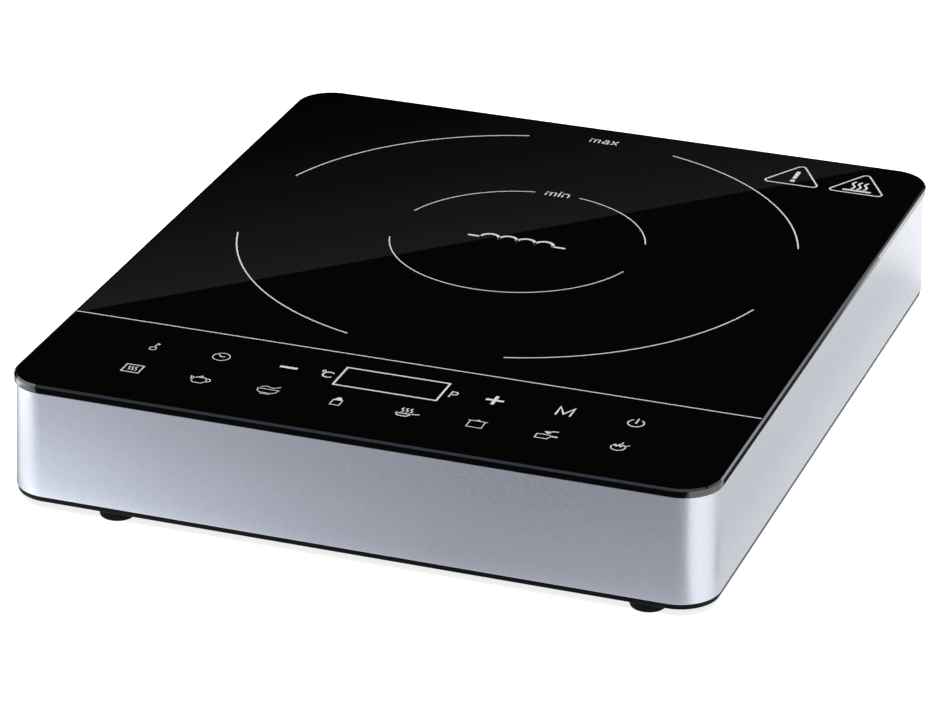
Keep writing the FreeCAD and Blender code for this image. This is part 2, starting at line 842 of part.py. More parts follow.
def rubber_feet():
    """Four round feet, each with a spigot pressed through the tray."""
    feet = []
    for x, y in FOOT_POINTS:
        pad_height = dim.foot_height + dim.foot_recess
        rounded = doc.addObject("Part::Fillet", "Fillet")
        rounded.Base = cylinder(dim.foot_radius, pad_height, x, y)
        doc.recompute()
        lower_rim = next(
            number for number, edge in enumerate(rounded.Base.Shape.Edges, start=1)
            if edge.BoundBox.ZMax < SAME_LEVEL
        )
        rounded.Edges = [(lower_rim, dim.foot_rounding.value, dim.foot_rounding.value)]
        feet.append(fuse(rounded, cylinder(dim.foot_spigot_radius, pad_height + dim.foot_spigot, x, y)))
    node(group(feet), "rubber_feet")


def rating_plate():
    node(block(dim.plate_width, dim.plate_depth, dim.plate_thick, dim.plate_x, dim.plate_y,
               dim.foot_height - dim.plate_thick), "rating_plate")


def cord_inlet_bushing():
    """The flanged bushing through which a cord would enter, lying along Y."""
    body = new_body("cord_inlet_bushing")
    flange = new_sketch(body)
    draw_circle(flange, dim.bushing_flange_radius)
    pad(body, flange, dim.bushing_flange)
    barrel = new_sketch(body)
    draw_circle(barrel, dim.bushing_radius)
    pad(body, barrel, dim.bushing_length)
    bore = new_sketch(body)
    draw_circle(bore, dim.bushing_bore)
    pocket(body, bore, dim.bushing_length, flip=True)
    body.Placement = FreeCAD.Placement(Vector(0, 0, 0), Rotation(Vector(1, 0, 0), 90))
    recess_floor = BAND_BOTTOM_DEPTH / 2 - dim.inlet_recess_depth
    place(body, dim.inlet_x, recess_floor + dim.bushing_flange, dim.inlet_z)


# ---------------------------------------------------------------- fan

def fan_frame():
    body = new_body("fan_frame")
    square = new_sketch(body)
    draw_rounded_rectangle(square, dim.fan_size, dim.fan_size, dim.fan_corner)
    pad(body, square, dim.fan_depth)
    duct = new_sketch(body)
    draw_circle(duct, dim.fan_duct_radius)
    pocket(body, duct, dim.fan_depth, flip=True)
    strut = new_sketch(body)
    draw_rectangle(strut, 2 * dim.fan_duct_radius + dim.fan_plate_thick, dim.fan_strut_width)
    repeat_in_circle(body, pad(body, strut, dim.fan_plate_thick), dim.pole_count)
    plate = new_sketch(body)
    draw_circle(plate, dim.fan_plate_radius)
    pad(body, plate, dim.fan_plate_thick)
    tube = new_sketch(body)
    draw_circle(tube, dim.bearing_tube_radius)
    pad(body, tube, dim.bearing_tube_top)
    well = new_sketch(body, dim.bearing_tube_top)
    draw_circle(well, dim.bearing_radius)
    pocket(body, well, dim.bearing_tube_top - dim.bearing_floor)
    hole = new_sketch(body)
    draw_circle(hole, dim.fan_hole_radius, dim.fan_hole_pitch / 2, dim.fan_hole_pitch / 2)
    repeat_in_circle(body, pocket(body, hole, dim.fan_depth, flip=True), dim.pole_count)
    place(body, dim.fan_x, dim.fan_y, FAN_BOTTOM)


def fan_bearing():
    length = dim.bearing_tube_top - dim.bearing_floor
    bore = dim.shaft_radius + dim.shaft_clearance
    sleeve = ring(dim.bearing_radius, bore, length, dim.fan_x, dim.fan_y, FAN_BOTTOM + dim.bearing_floor)
    node(sleeve, "fan_bearing")


def fan_stator():
    """The laminated core with four poles around the bearing tube."""
    body = new_body("fan_stator_core")
    height = dim.stator_top - dim.stator_foot
    middle = new_sketch(body)
    draw_circle(middle, dim.stator_ring)
    pad(body, middle, height)
    arm = new_sketch(body)
    draw_rectangle(arm, dim.pole_tip, dim.pole_arm, dim.pole_tip / 2)
    repeat_in_circle(body, pad(body, arm, height), dim.pole_count)
    shoe = new_sketch(body)
    draw_rectangle(shoe, dim.pole_shoe, dim.pole_width, dim.pole_tip - dim.pole_shoe / 2)
    repeat_in_circle(body, pad(body, shoe, height), dim.pole_count)
    bore = new_sketch(body)
    draw_circle(bore, dim.bearing_tube_radius)
    pocket(body, bore, height, flip=True)
    place(body, dim.fan_x, dim.fan_y, FAN_BOTTOM + dim.stator_foot)


def fan_windings():
    """One block of copper wire around each pole arm."""
    body = new_body("fan_windings")
    reach = dim.pole_tip - dim.pole_shoe - dim.stator_ring
    middle = dim.stator_ring + reach / 2
    wrap = dim.winding_wrap
    coil = new_sketch(body)
    draw_rectangle(coil, reach, dim.pole_arm + 2 * wrap, middle)
    height = dim.stator_top - dim.stator_foot + 2 * wrap
    repeat_in_circle(body, pad(body, coil, height), dim.pole_count)
    arm = new_sketch(body, wrap)
    draw_rectangle(arm, reach + 2 * wrap, dim.pole_arm, middle)
    repeat_in_circle(body, pocket(body, arm, height - 2 * wrap, flip=True), dim.pole_count)
    place(body, dim.fan_x, dim.fan_y, FAN_BOTTOM + dim.stator_foot - wrap)


def fan_impeller():
    """Hub cup with seven tilted blades; it turns about Z."""
    body = new_body("fan_impeller")
    hub = new_sketch(body, 0, "XZ_Plane")
    draw_lines(hub, [
        (dim.shaft_radius, dim.hub_boss_foot), (dim.hub_boss_radius, dim.hub_boss_foot),
        (dim.hub_boss_radius, dim.hub_roof), (dim.hub_inside, dim.hub_roof),
        (dim.hub_inside, dim.hub_foot), (dim.hub_radius, dim.hub_foot),
        (dim.hub_radius, dim.hub_top), (0, dim.hub_top),
        (0, dim.shaft_top), (dim.shaft_radius, dim.shaft_top),
    ])
    revolve(body, hub)
    tilt = math.radians(dim.blade_tilt.value)
    along = (math.cos(tilt), math.sin(tilt))
    across = (-math.sin(tilt), math.cos(tilt))
    corners = []
    for chord_side, thick_side in ((-1, -1), (1, -1), (1, 1), (-1, 1)):
        chord = dim.blade_chord / 2 * chord_side
        thick = dim.blade_thick / 2 * thick_side
        corners.append((chord * along[0] + thick * across[0],
                        dim.blade_middle + chord * along[1] + thick * across[1]))
    section = new_sketch(body, (dim.hub_inside + dim.hub_radius) / 2, "YZ_Plane")
    draw_lines(section, corners)
    blade = pad(body, section, dim.blade_tip - (dim.hub_inside + dim.hub_radius) / 2)
    repeat_in_circle(body, blade, dim.blade_count)
    place(body, dim.fan_x, dim.fan_y, FAN_BOTTOM)


def fan_magnet_ring():
    node(ring(dim.hub_inside, dim.magnet_inside, dim.magnet_top - dim.magnet_foot,
              dim.fan_x, dim.fan_y, FAN_BOTTOM + dim.magnet_foot), "fan_magnet_ring")


def fan_shaft():
    node(cylinder(dim.shaft_radius, dim.shaft_top - dim.shaft_foot,
                  dim.fan_x, dim.fan_y, FAN_BOTTOM + dim.shaft_foot), "fan_shaft")


# ---------------------------------------------------------------- induction coil

def coil_carrier():
    """A plastic dish with windows between the ferrites and three lugs for its screws."""
    body = new_body("coil_carrier")
    dish = new_sketch(body)
    draw_circle(dish, dim.carrier_radius)
    pad(body, dish, dim.carrier_thick + dim.coil_height)
    floor = new_sketch(body, dim.carrier_thick + dim.coil_height)
    draw_circle(floor, dim.carrier_radius - dim.carrier_rim)
    pocket(body, floor, dim.coil_height)
    hole = new_sketch(body)
    draw_circle(hole, dim.carrier_hole)
    pocket(body, hole, dim.carrier_thick, flip=True)
    half_step = math.pi / value_of(dim.ferrite_count)
    spoke_x, spoke_y = math.cos(half_step), math.sin(half_step)
    corners = []
    for reach, side in ((dim.carrier_window_inner, -1), (dim.carrier_window_outer, -1),
                        (dim.carrier_window_outer, 1), (dim.carrier_window_inner, 1)):
        half = dim.carrier_window_width / 2 * side
        corners.append((reach * spoke_x - half * spoke_y, reach * spoke_y + half * spoke_x))
    window = new_sketch(body)
    draw_lines(window, corners)
    repeat_in_circle(body, pocket(body, window, dim.carrier_thick, flip=True), dim.ferrite_count)
    lug = new_sketch(body)
    draw_circle(lug, dim.lug_radius, 0, dim.lug_reach)
    repeat_in_circle(body, pad(body, lug, dim.carrier_thick), len(LUG_POINTS))
    screw_hole = new_sketch(body)
    draw_circle(screw_hole, dim.screw_hole_radius, 0, dim.lug_reach)
    repeat_in_circle(body, pocket(body, screw_hole, dim.carrier_thick, flip=True), len(LUG_POINTS))
    place(body, 0, dim.zone_y, dim.carrier_foot)


def induction_coil():
    """The flat litz-wire winding, as one closed ring."""
    body = new_body("induction_coil")
    winding = new_sketch(body)
    draw_circle(winding, dim.coil_outer)
    draw_circle(winding, dim.coil_inner)
    pad(body, winding, dim.coil_height)
    place(body, 0, dim.zone_y, COIL_BOTTOM)


def ferrite_bars():
    body = new_body("ferrite_bars")
    bar = new_sketch(body)
    draw_rectangle(bar, dim.ferrite_length, dim.ferrite_width, dim.ferrite_inner + dim.ferrite_length / 2)
    repeat_in_circle(body, pad(body, bar, dim.ferrite_height), dim.ferrite_count)
    place(body, 0, dim.zone_y, dim.carrier_foot - dim.ferrite_height)


def coil_insulation():
    node(ring(dim.mica_radius, dim.sensor_window, dim.mica_thick, 0, dim.zone_y, COIL_TOP), "mica_sheet")
    node(ring(dim.felt_radius, dim.sensor_window, dim.felt_thick, 0, dim.zone_y,
              COIL_TOP + dim.mica_thick), "ceramic_felt")


def pan_sensor():
    """A silicone holder that presses the thermistor against the glass."""
    sensor_foot = GLASS_BOTTOM - dim.sensor_height
    holder_foot = COIL_BOTTOM
    stem = cylinder(dim.sensor_holder_radius, sensor_foot - holder_foot, 0, dim.zone_y, holder_foot)
    skirt = cylinder(dim.carrier_hole + dim.carrier_rim, dim.carrier_thick / 2,
                     0, dim.zone_y, holder_foot)
    node(fuse(stem, skirt), "sensor_holder")
    node(cylinder(dim.sensor_radius, dim.sensor_height, 0, dim.zone_y, sensor_foot), "pan_thermistor")


# ---------------------------------------------------------------- power board

def power_board():
    plate = block(dim.board_width, dim.board_depth, dim.board_thick, dim.board_x, dim.board_y, BOARD_BOTTOM)
    holes = [cylinder(dim.screw_hole_radius, dim.board_thick, x, y, BOARD_BOTTOM) for x, y in BOARD_POINTS]
    node(cut(plate, fuse(*holes)), "power_board")


def heat_sink():
    """An extruded comb: an upright plate with fins that point to the back."""
    body = new_body("heat_sink")
    step = (dim.sink_height - dim.sink_fin) / (dim.sink_fin_count - 1)
    plate = new_sketch(body, -(dim.sink_length / 2), "YZ_Plane")
    draw_rectangle(plate, dim.sink_plate, dim.sink_height, dim.sink_plate / 2, dim.sink_height / 2)
    pad(body, plate, dim.sink_length)
    fin = new_sketch(body, -(dim.sink_length / 2), "YZ_Plane")
    draw_rectangle(fin, dim.sink_fin_length, dim.sink_fin,
                   dim.sink_plate + dim.sink_fin_length / 2, dim.sink_fin / 2)
    repeat_in_line(body, pad(body, fin, dim.sink_length), "Z_Axis", step, dim.sink_fin_count)
    holes = new_sketch(body, 0, "XZ_Plane")
    for x in (dim.transistor_x, dim.rectifier_x):
        draw_circle(holes, dim.case_pilot_radius, x - dim.sink_x, dim.sink_height - dim.device_screw_drop)
    pocket(body, holes, dim.sink_plate)
    place(body, dim.sink_x, dim.sink_y, BOARD_TOP)


def clamped_device(label, x, width, legs):
    """A flat power device held upright against the heat sink's plate."""
    case_foot = BOARD_TOP + dim.leg_height
    y = dim.sink_y - dim.transistor_thick / 2
    case = block(width, dim.transistor_thick, dim.transistor_height, x, y, case_foot)
    pitch = width / (legs + 1)
    pins = [
        block(dim.leg_width, dim.leg_width, dim.leg_height,
              x + pitch * (pin - (legs - 1) / 2), y, BOARD_TOP)
        for pin in range(legs)
    ]
    bore = cylinder(dim.case_pilot_radius, dim.transistor_thick, x, dim.sink_y,
                    BOARD_TOP + dim.sink_height - dim.device_screw_drop)
    node(fuse(cut(case, turned(bore, Vector(1, 0, 0), 90)), *pins), label)


def device_screws():
    """Two screws that clamp the devices; they lie along Y."""
    made = []
    level = BOARD_TOP + dim.sink_height - dim.device_screw_drop
    front = dim.sink_y - dim.transistor_thick
    for x in (dim.transistor_x, dim.rectifier_x):
        head = cylinder(dim.screw_head_radius, dim.screw_head_height, x, front, level)
        length = dim.transistor_thick + dim.sink_plate
        shank = cylinder(dim.screw_radius, length, x, front + length, level)
        made.append(fuse(turned(head, Vector(1, 0, 0), 90), turned(shank, Vector(1, 0, 0), 90)))
    node(group(made), "device_screws")


def board_blocks():
    """Box-shaped parts that stand on the power board."""
    node(block(dim.link_capacitor_length, dim.link_capacitor_width, dim.link_capacitor_height,
               dim.link_capacitor_x, dim.link_capacitor_y, BOARD_TOP), "link_capacitor")
    node(block(dim.tank_capacitor_length, dim.tank_capacitor_width, dim.tank_capacitor_height,
               dim.link_capacitor_x, dim.tank_capacitor_y, BOARD_TOP), "resonant_capacitor")
    node(block(dim.filter_capacitor_length, dim.filter_capacitor_width, dim.filter_capacitor_height,
               dim.filter_capacitor_x, dim.filter_capacitor_y, BOARD_TOP), "filter_capacitor")
    node(block(dim.terminal_width, dim.terminal_depth, dim.terminal_height,
               dim.terminal_x, dim.terminal_y, BOARD_TOP), "mains_terminal_block")


def choke():
    """A toroid lying flat, with its turns of wire as separate loops."""
    middle = BOARD_TOP + dim.choke_loop_radius + dim.choke_wire_radius
    outer = dim.choke_mean_radius + dim.choke_core_width / 2
    inner = dim.choke_mean_radius - dim.choke_core_width / 2
    core_foot = middle - dim.choke_core_height / 2
    node(ring(outer, inner, dim.choke_core_height, dim.choke_x, dim.choke_y, core_foot), "choke_core")
    loops = []
    for turn in range(value_of(dim.choke_turns)):
        angle = 2 * math.pi * turn / value_of(dim.choke_turns)
        loop = doc.addObject("Part::Torus", "Torus")
        bind(loop, Radius1=dim.choke_loop_radius, Radius2=dim.choke_wire_radius)
        place(loop, dim.choke_x + dim.choke_mean_radius * math.cos(angle),
              dim.choke_y + dim.choke_mean_radius * math.sin(angle), middle)
        across = Vector(-math.sin(angle), math.cos(angle), 0)
        loop.Placement = FreeCAD.Placement(loop.Placement.Base, Rotation(Vector(0, 0, 1), across))
        loops.append(loop)
    node(group(loops), "choke_winding")


def fuse_link():
    """A glass fuse lying along Y in two spring clips."""
    level = BOARD_TOP + dim.fuse_radius + dim.board_thick
    barrel = cylinder(dim.fuse_radius, dim.fuse_length, dim.fuse_x, dim.fuse_y + dim.fuse_length / 2, level)
    clips = [
        block(2 * dim.fuse_radius, dim.board_thick, level - BOARD_TOP, dim.fuse_x,
              dim.fuse_y + dim.fuse_clip_reach * side, BOARD_TOP)
        for side in (-1, 1)
    ]
    node(fuse(turned(barrel, Vector(1, 0, 0), 90), *clips), "fuse")


def varistor():
    disc = cylinder(dim.varistor_radius, dim.varistor_thick, dim.varistor_x,
                    dim.fuse_y + dim.varistor_thick / 2, BOARD_TOP + dim.varistor_radius + dim.board_thick)
    pin = block(dim.varistor_radius, dim.board_thick / 2, dim.varistor_radius,
                dim.varistor_x, dim.fuse_y, BOARD_TOP)
    node(fuse(turned(disc, Vector(1, 0, 0), 90), pin), "varistor")


def supply_transformer():
    """A small transformer: a bobbin between two ferrite cheeks."""
    bobbin_height = dim.transformer_height - dim.board_thick
    bobbin = block(dim.transformer_width, dim.transformer_width - dim.transformer_core, bobbin_height,
                   dim.transformer_x, dim.small_parts_y, BOARD_TOP)
    cheeks = [
        block(dim.transformer_cheek, dim.transformer_core, dim.transformer_height, dim.transformer_x,
              dim.small_parts_y + dim.transformer_width / 2 * side, BOARD_TOP)
        for side in (-1, 1)
    ]
    node(fuse(bobbin, *cheeks), "supply_transformer")


def round_parts():
    cans = [
        cylinder(dim.can_radius, dim.can_height, dim.can_x + dim.can_pitch / 2 * side,
                 dim.small_parts_y, BOARD_TOP)
        for side in (-1, 1)
    ]
    node(group(cans), "electrolytic_capacitors")
    node(cylinder(dim.buzzer_radius, dim.buzzer_height, dim.buzzer_x, dim.small_parts_y, BOARD_TOP),
         "buzzer")


def sockets_and_tabs():
    """Sockets for the fan, the thermistor and the ribbon, and two brass tabs for the coil."""
    small = [
        block(dim.socket_width, dim.socket_depth, dim.socket_height, dim.socket_x, y, BOARD_TOP)
        for y in (dim.fan_socket_y, dim.sensor_socket_y)
    ]
    wide = block(dim.ribbon_width + dim.socket_width, dim.socket_width, dim.socket_height,
                 0, dim.ribbon_socket_y, BOARD_TOP)
    node(group(small + [wide]), "lead_sockets")
    tabs = [
        block(dim.socket_width, dim.board_thick / 2, dim.coil_tab_height,
              dim.coil_tab_x + dim.coil_tab_gap / 2 * side, dim.coil_tab_y, BOARD_TOP)
        for side in (-1, 1)
    ]
    node(group(tabs), "coil_tabs")


# ---------------------------------------------------------------- control board

def panel_holder():
    """A plastic tray on four legs that holds the control board under the glass."""
    body = new_body("panel_holder")
    width = dim.panel_board_width + 2 * dim.panel_holder_rim
    depth = dim.panel_board_depth + 2 * dim.panel_holder_rim
    rim_top = dim.panel_holder_thick + 2 * dim.board_thick
    floor = new_sketch(body)
    draw_rounded_rectangle(floor, width, depth, dim.panel_holder_rim)
    pad(body, floor, rim_top)
    inside = new_sketch(body, rim_top)
    draw_rectangle(inside, dim.panel_board_width + dim.board_play, dim.panel_board_depth + dim.board_play)
    pocket(body, inside, rim_top - dim.panel_holder_thick)
    shelf = new_sketch(body)
    for side in (-1, 1):
        draw_rectangle(shelf, dim.panel_shelf_length, dim.panel_shelf_width, 0,
                       (dim.panel_board_depth / 2 - dim.panel_shelf_width) * side)
    pad(body, shelf, dim.panel_holder_thick + dim.board_thick)
    legs = new_sketch(body)
    local_points = [(x, y - dim.panel_y) for x, y in PANEL_POINTS]
    for x, y in local_points:
        draw_circle(legs, dim.panel_leg_radius, x, y)
    level = dim.panel_board_foot - dim.board_thick - dim.panel_holder_thick
    leg_length = level - dim.case_boss_foot
    pad(body, legs, leg_length, flip=True)
    pilots = new_sketch(body, -leg_length)
    for x, y in local_points:
        draw_circle(pilots, dim.case_pilot_radius, x, y)
    pocket(body, pilots, dim.case_screw_length, flip=True)
    place(body, 0, dim.panel_y, level)


def control_board():
    node(block(dim.panel_board_width, dim.panel_board_depth, dim.board_thick, 0, dim.panel_y,
               dim.panel_board_foot), "control_board")


def touch_pads():
    """A conductive foam pad under each key, from the board up to the glass."""
    columns = [number - (KEY_COLUMNS - 1) / 2 for number in range(KEY_COLUMNS)]
    upper = [(column, dim.key_upper_y) for column in columns if abs(column) > 1]
    lower = [(column, dim.key_lower_y) for column in columns]
    pads = [
        cylinder(dim.key_pad_radius, GLASS_BOTTOM - PANEL_TOP, dim.key_pitch * column, y, PANEL_TOP)
        for column, y in upper + lower
    ]
    node(group(pads), "touch_pads")


def display_and_chip():
    node(block(dim.display_width, dim.display_depth, dim.display_height, 0, dim.key_upper_y,
               PANEL_TOP), "display_module")
    node(block(dim.chip_side, dim.chip_side, dim.chip_height, dim.key_pitch, dim.panel_y,
               PANEL_TOP), "control_chip")


# ---------------------------------------------------------------- leads and screws

def leads():
    """Internal leads, each a smooth run between two fixed ends."""
    top = BOARD_TOP + dim.coil_tab_height
    coil_under = dim.carrier_foot - dim.coil_lead_radius
    socket_top = BOARD_TOP + dim.socket_height
    fan_side = dim.fan_x + dim.fan_size / 2
    fan_exit_y = dim.fan_y - dim.fan_lead_exit
    made = []
    for side in (-1, 1):
        x = dim.coil_tab_x + dim.coil_tab_gap / 2 * side
        edge_y = dim.zone_y - dim.lead_edge
        made.append(lead([
            (x, edge_y, coil_under),
            (x, edge_y - dim.lead_step, coil_under - dim.lead_step),
            (x, dim.coil_tab_y - 2 * dim.lead_step, top + dim.lead_step),
            (x, dim.coil_tab_y, top + dim.coil_lead_radius / 2),
        ], dim.coil_lead_radius))
    fixed_shape("coil_leads", Part.makeCompound(made))
    fixed_shape("fan_lead", lead([
        (fan_side, fan_exit_y, FAN_BOTTOM + dim.lead_step),
        (fan_side + dim.lead_step, fan_exit_y, FAN_BOTTOM + dim.lead_step),
        (dim.socket_x, dim.fan_socket_y, socket_top + 2 * dim.lead_step),
        (dim.socket_x, dim.fan_socket_y, socket_top),
    ], dim.thin_lead_radius))
    fixed_shape("thermistor_lead", lead([
        (dim.socket_x, dim.sensor_socket_y, socket_top),
        (dim.socket_x, dim.sensor_socket_y, socket_top + 2 * dim.lead_step),
        (-dim.sensor_window, dim.zone_y, dim.carrier_foot - 2 * dim.lead_step),
        (0, dim.zone_y, dim.carrier_foot - dim.lead_step),
        (0, dim.zone_y, COIL_BOTTOM),
    ], dim.thin_lead_radius))


def ribbon_cable():
    """A flat cable in one vertical plane, from the control board down to the power board."""
    start = Vector(
        0,
        value_of(dim.panel_y + dim.panel_board_depth / 2 + dim.panel_shelf_width),
        value_of(dim.panel_board_foot - dim.board_thick),
    )
    socket_top = value_of(BOARD_TOP + dim.socket_height)
    socket_y = value_of(dim.ribbon_socket_y)
    over_socket = socket_top + value_of(dim.ribbon_rise)
    points = [
        start,
        Vector(0, start.y + value_of(dim.ribbon_flat_run), start.z),
        Vector(0, socket_y - value_of(dim.ribbon_landing), over_socket),
        Vector(0, socket_y, over_socket),
        Vector(0, socket_y, socket_top),
    ]
    half_width, half_thick = value_of(dim.ribbon_width) / 2, value_of(dim.ribbon_thick) / 2
    corners = [
        start + Vector(half_width * side_x, 0, half_thick * side_z)
        for side_x, side_z in ((-1, -1), (1, -1), (1, 1), (-1, 1), (-1, -1))
    ]
    fixed_shape("ribbon_cable", swept(lead_path(points), Part.makePolygon(corners)))


def all_screws():
    screws("case_screws", POST_POINTS, dim.foot_height + dim.counterbore_depth, dim.case_screw_length,
           head_up=False)
    screws("board_screws", BOARD_POINTS, BOARD_TOP, dim.short_screw_length, head_up=True)
    screws("coil_screws", LUG_POINTS, COIL_BOTTOM, dim.short_screw_length, head_up=True)
    screws("fan_screws", FAN_POINTS, FAN_BOTTOM + dim.fan_depth, dim.fan_depth + dim.fan_lift, head_up=True)


# ---------------------------------------------------------------- build, check and write

def build_everything():
    for make in (glass_plate, side_housing, glass_adhesive, base_tray, rubber_feet, rating_plate,
                 cord_inlet_bushing, fan_frame, fan_bearing, fan_stator, fan_windings, fan_impeller,
                 fan_magnet_ring, fan_shaft, coil_carrier, induction_coil, ferrite_bars, coil_insulation,
                 pan_sensor, power_board, heat_sink):
        make()
    clamped_device("power_transistor", dim.transistor_x, dim.transistor_width, legs=3)
    clamped_device("bridge_rectifier", dim.rectifier_x, dim.rectifier_width, legs=4)
    for make in (device_screws, board_blocks, choke, fuse_link, varistor, supply_transformer, round_parts,
                 sockets_and_tabs, panel_holder, control_board, touch_pads, display_and_chip, leads,
                 ribbon_cable, all_screws):
        make()


def check_and_write():
    doc.recompute()
    for item in doc.Objects:
        if "Invalid" in item.State or "Error" in item.State:
            raise RuntimeError(f"{item.Label} failed: {item.State}")
    os.makedirs("parts", exist_ok=True)
    for piece in nodes:
        if piece.Shape.isNull() or not piece.Shape.isValid():
            raise RuntimeError(f"{piece.Label} has no valid shape")
        piece.Shape.exportStep(f"parts/{piece.Label}.step")
        box = piece.Shape.BoundBox
        print(f"{piece.Label:26s} solids {len(piece.Shape.Solids):2d}"
              f" volume {piece.Shape.Volume / 1000:9.2f} cm3  z {box.ZMin:7.2f} {box.ZMax:7.2f}")


build_everything()
check_and_write()
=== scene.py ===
"""Looks of a portable induction hob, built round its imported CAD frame.

Metres, in the CAD frame: the origin lies on the bench under the middle of the hob,
+X points right, +Y to the back and +Z up. The touch keys are at the front, at -Y.
"""

import math

import bmesh
import bpy
from mathutils import Matrix, Vector


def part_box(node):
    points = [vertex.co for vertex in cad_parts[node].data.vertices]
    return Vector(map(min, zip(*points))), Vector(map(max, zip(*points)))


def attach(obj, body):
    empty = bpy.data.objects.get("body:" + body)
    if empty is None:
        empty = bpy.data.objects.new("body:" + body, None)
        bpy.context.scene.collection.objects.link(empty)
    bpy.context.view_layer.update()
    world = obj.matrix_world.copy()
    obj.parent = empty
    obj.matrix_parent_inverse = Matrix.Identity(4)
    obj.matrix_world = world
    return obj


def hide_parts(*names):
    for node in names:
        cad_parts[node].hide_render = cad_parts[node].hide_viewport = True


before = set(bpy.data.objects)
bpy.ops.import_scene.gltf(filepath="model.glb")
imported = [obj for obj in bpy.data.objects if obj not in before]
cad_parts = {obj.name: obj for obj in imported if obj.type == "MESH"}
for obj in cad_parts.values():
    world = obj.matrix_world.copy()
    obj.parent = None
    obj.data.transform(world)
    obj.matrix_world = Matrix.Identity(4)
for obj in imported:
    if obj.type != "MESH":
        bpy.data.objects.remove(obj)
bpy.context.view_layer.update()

MM = 0.001


# ---------------------------------------------------------------- sizes from the frame

def middle(node):
    low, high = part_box(node)
    return (low + high) / 2


def size_of(node):
    low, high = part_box(node)
    return high - low


GLASS_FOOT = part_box("glass_plate")[0].z
GLASS_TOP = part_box("glass_plate")[1].z
GLASS_SIZE = size_of("glass_plate")
GLASS_CORNER = 18 * MM
GLASS_FACET = 0.8 * MM
GLASS_ARRIS = 0.15 * MM
GLASS_MARGIN = 2 * MM
PRINT_RISE = 0.02 * MM

BAND_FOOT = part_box("side_housing")[0].z
BAND_SIZE = size_of("side_housing")
BAND_FLARE = 1.6 * MM
BAND_CORNER = GLASS_CORNER + (BAND_SIZE.x - GLASS_SIZE.x) / 2
WALL = 2.5 * MM
RIM = 2 * MM
LEDGE = 12 * MM
LEDGE_DROP = 1 * MM
LEDGE_THICK = 2.5 * MM

ZONE = middle("induction_coil")

# The print is drawn in millimetres, and lies a little to the left of the middle of the glass.
PRINT_SHIFT = -0.8
OUTER_RING = 129.5
INNER_RING = 59.1
KEY_COUNT = 8
KEY_PITCH = 31.6
KEY_COLUMNS = [KEY_PITCH * (column - (KEY_COUNT - 1) / 2) for column in range(KEY_COUNT)]
UPPER_KEYS = -128.7
LOWER_KEYS = -153.3
DIVIDER = -106

CORNER_STEPS = 32
ROUND_STEPS = 8
CIRCLE_STEPS = 64


# ---------------------------------------------------------------- outlines

def arc(centre, radius, start, end, steps=ROUND_STEPS):
    """Points on a circle, from one angle to another in degrees."""
    points = []
    for step in range(steps + 1):
        angle = math.radians(start + (end - start) * step / steps)
        points.append(Vector(centre) + radius * Vector((math.cos(angle), math.sin(angle))))
    return points


def eased(corners, steps):
    """A closed outline from (u, v, radius) corners, each rounded to its radius."""
    points = []
    for number, (u, v, radius) in enumerate(corners):
        here = Vector((u, v))
        if radius == 0:
            points.append(here)
            continue
        before = (Vector(corners[number - 1][:2]) - here).normalized()
        after = (Vector(corners[(number + 1) % len(corners)][:2]) - here).normalized()
        half = before.angle(after) / 2
        centre = here + (before + after).normalized() * radius / math.sin(half)
        first = here + before * radius / math.tan(half) - centre
        last = here + after * radius / math.tan(half) - centre
        start = math.degrees(math.atan2(first.y, first.x))
        turn = (math.degrees(math.atan2(last.y, last.x)) - start + 180) % 360 - 180
        points.extend(arc(centre, radius, start, start + turn, steps))
    return points


def rounded_rectangle(half_x, half_y, radius, steps=CORNER_STEPS):
    """(corner centre, direction) pairs round a rectangle, so that it can be offset at will."""
    for quarter, (side_x, side_y) in enumerate(((1, 1), (-1, 1), (-1, -1), (1, -1))):
        centre = Vector((side_x * (half_x - radius), side_y * (half_y - radius), 0))
        for step in range(steps + 1):
            angle = (quarter + step / steps) * math.pi / 2
            yield centre, Vector((math.cos(angle), math.sin(angle), 0))


# ---------------------------------------------------------------- meshes

def skin(bm, rings, loop=False):
    """Joins rings of points into a closed surface, capped at both ends or looped back to its start."""
    rows = [[bm.verts.new(point) for point in ring] for ring in rings]
    sides = len(rows[0])
    pairs = list(zip(rows, rows[1:]))
    if loop:
        pairs.append((rows[-1], rows[0]))
    for row, following in pairs:
        for side in range(sides):
            beside = (side + 1) % sides
            bm.faces.new((row[side], row[beside], following[beside], following[side]))
    if not loop:
        bm.faces.new(reversed(rows[0]))
        bm.faces.new(rows[-1])


def lathe(bm, profile, centre, axis=Vector((0, 0, 1)), steps=CIRCLE_STEPS, loop=False):
    """Turns (radius, height) points round an axis through centre."""
    across = axis.orthogonal().normalized()
    along = axis.cross(across)
    rings = []
    for radius, height in profile:
        ring = []
        for step in range(steps):
            angle = 2 * math.pi * step / steps
            spoke = across * math.cos(angle) + along * math.sin(angle)
            ring.append(centre + axis * height + spoke * radius)
        rings.append(ring)
    skin(bm, rings, loop)


def block(bm, low, high):
    """A box from its lowest to its highest corner."""
    ring = [(low[0], low[1]), (high[0], low[1]), (high[0], high[1]), (low[0], high[1])]
    skin(bm, [[Vector((x, y, z)) for x, y in ring] for z in (low[2], high[2])])


def mark_sharp(bm, angle):
    """Smooth faces, with a hard edge wherever the surface turns by more than the angle."""
    bmesh.ops.recalc_face_normals(bm, faces=bm.faces)
    for face in bm.faces:
        face.smooth = True
    for edge in bm.edges:
        edge.smooth = edge.is_manifold and edge.calc_face_angle(math.pi) < math.radians(angle)


def add_object(name, data):
    item = bpy.data.objects.new(name, data)
    bpy.context.scene.collection.objects.link(item)
    return item


def to_object(bm, name, sharp=35):
    mark_sharp(bm, sharp)
    mesh = bpy.data.meshes.new(name)
    bm.to_mesh(mesh)
    bm.free()
    return add_object(name, mesh)


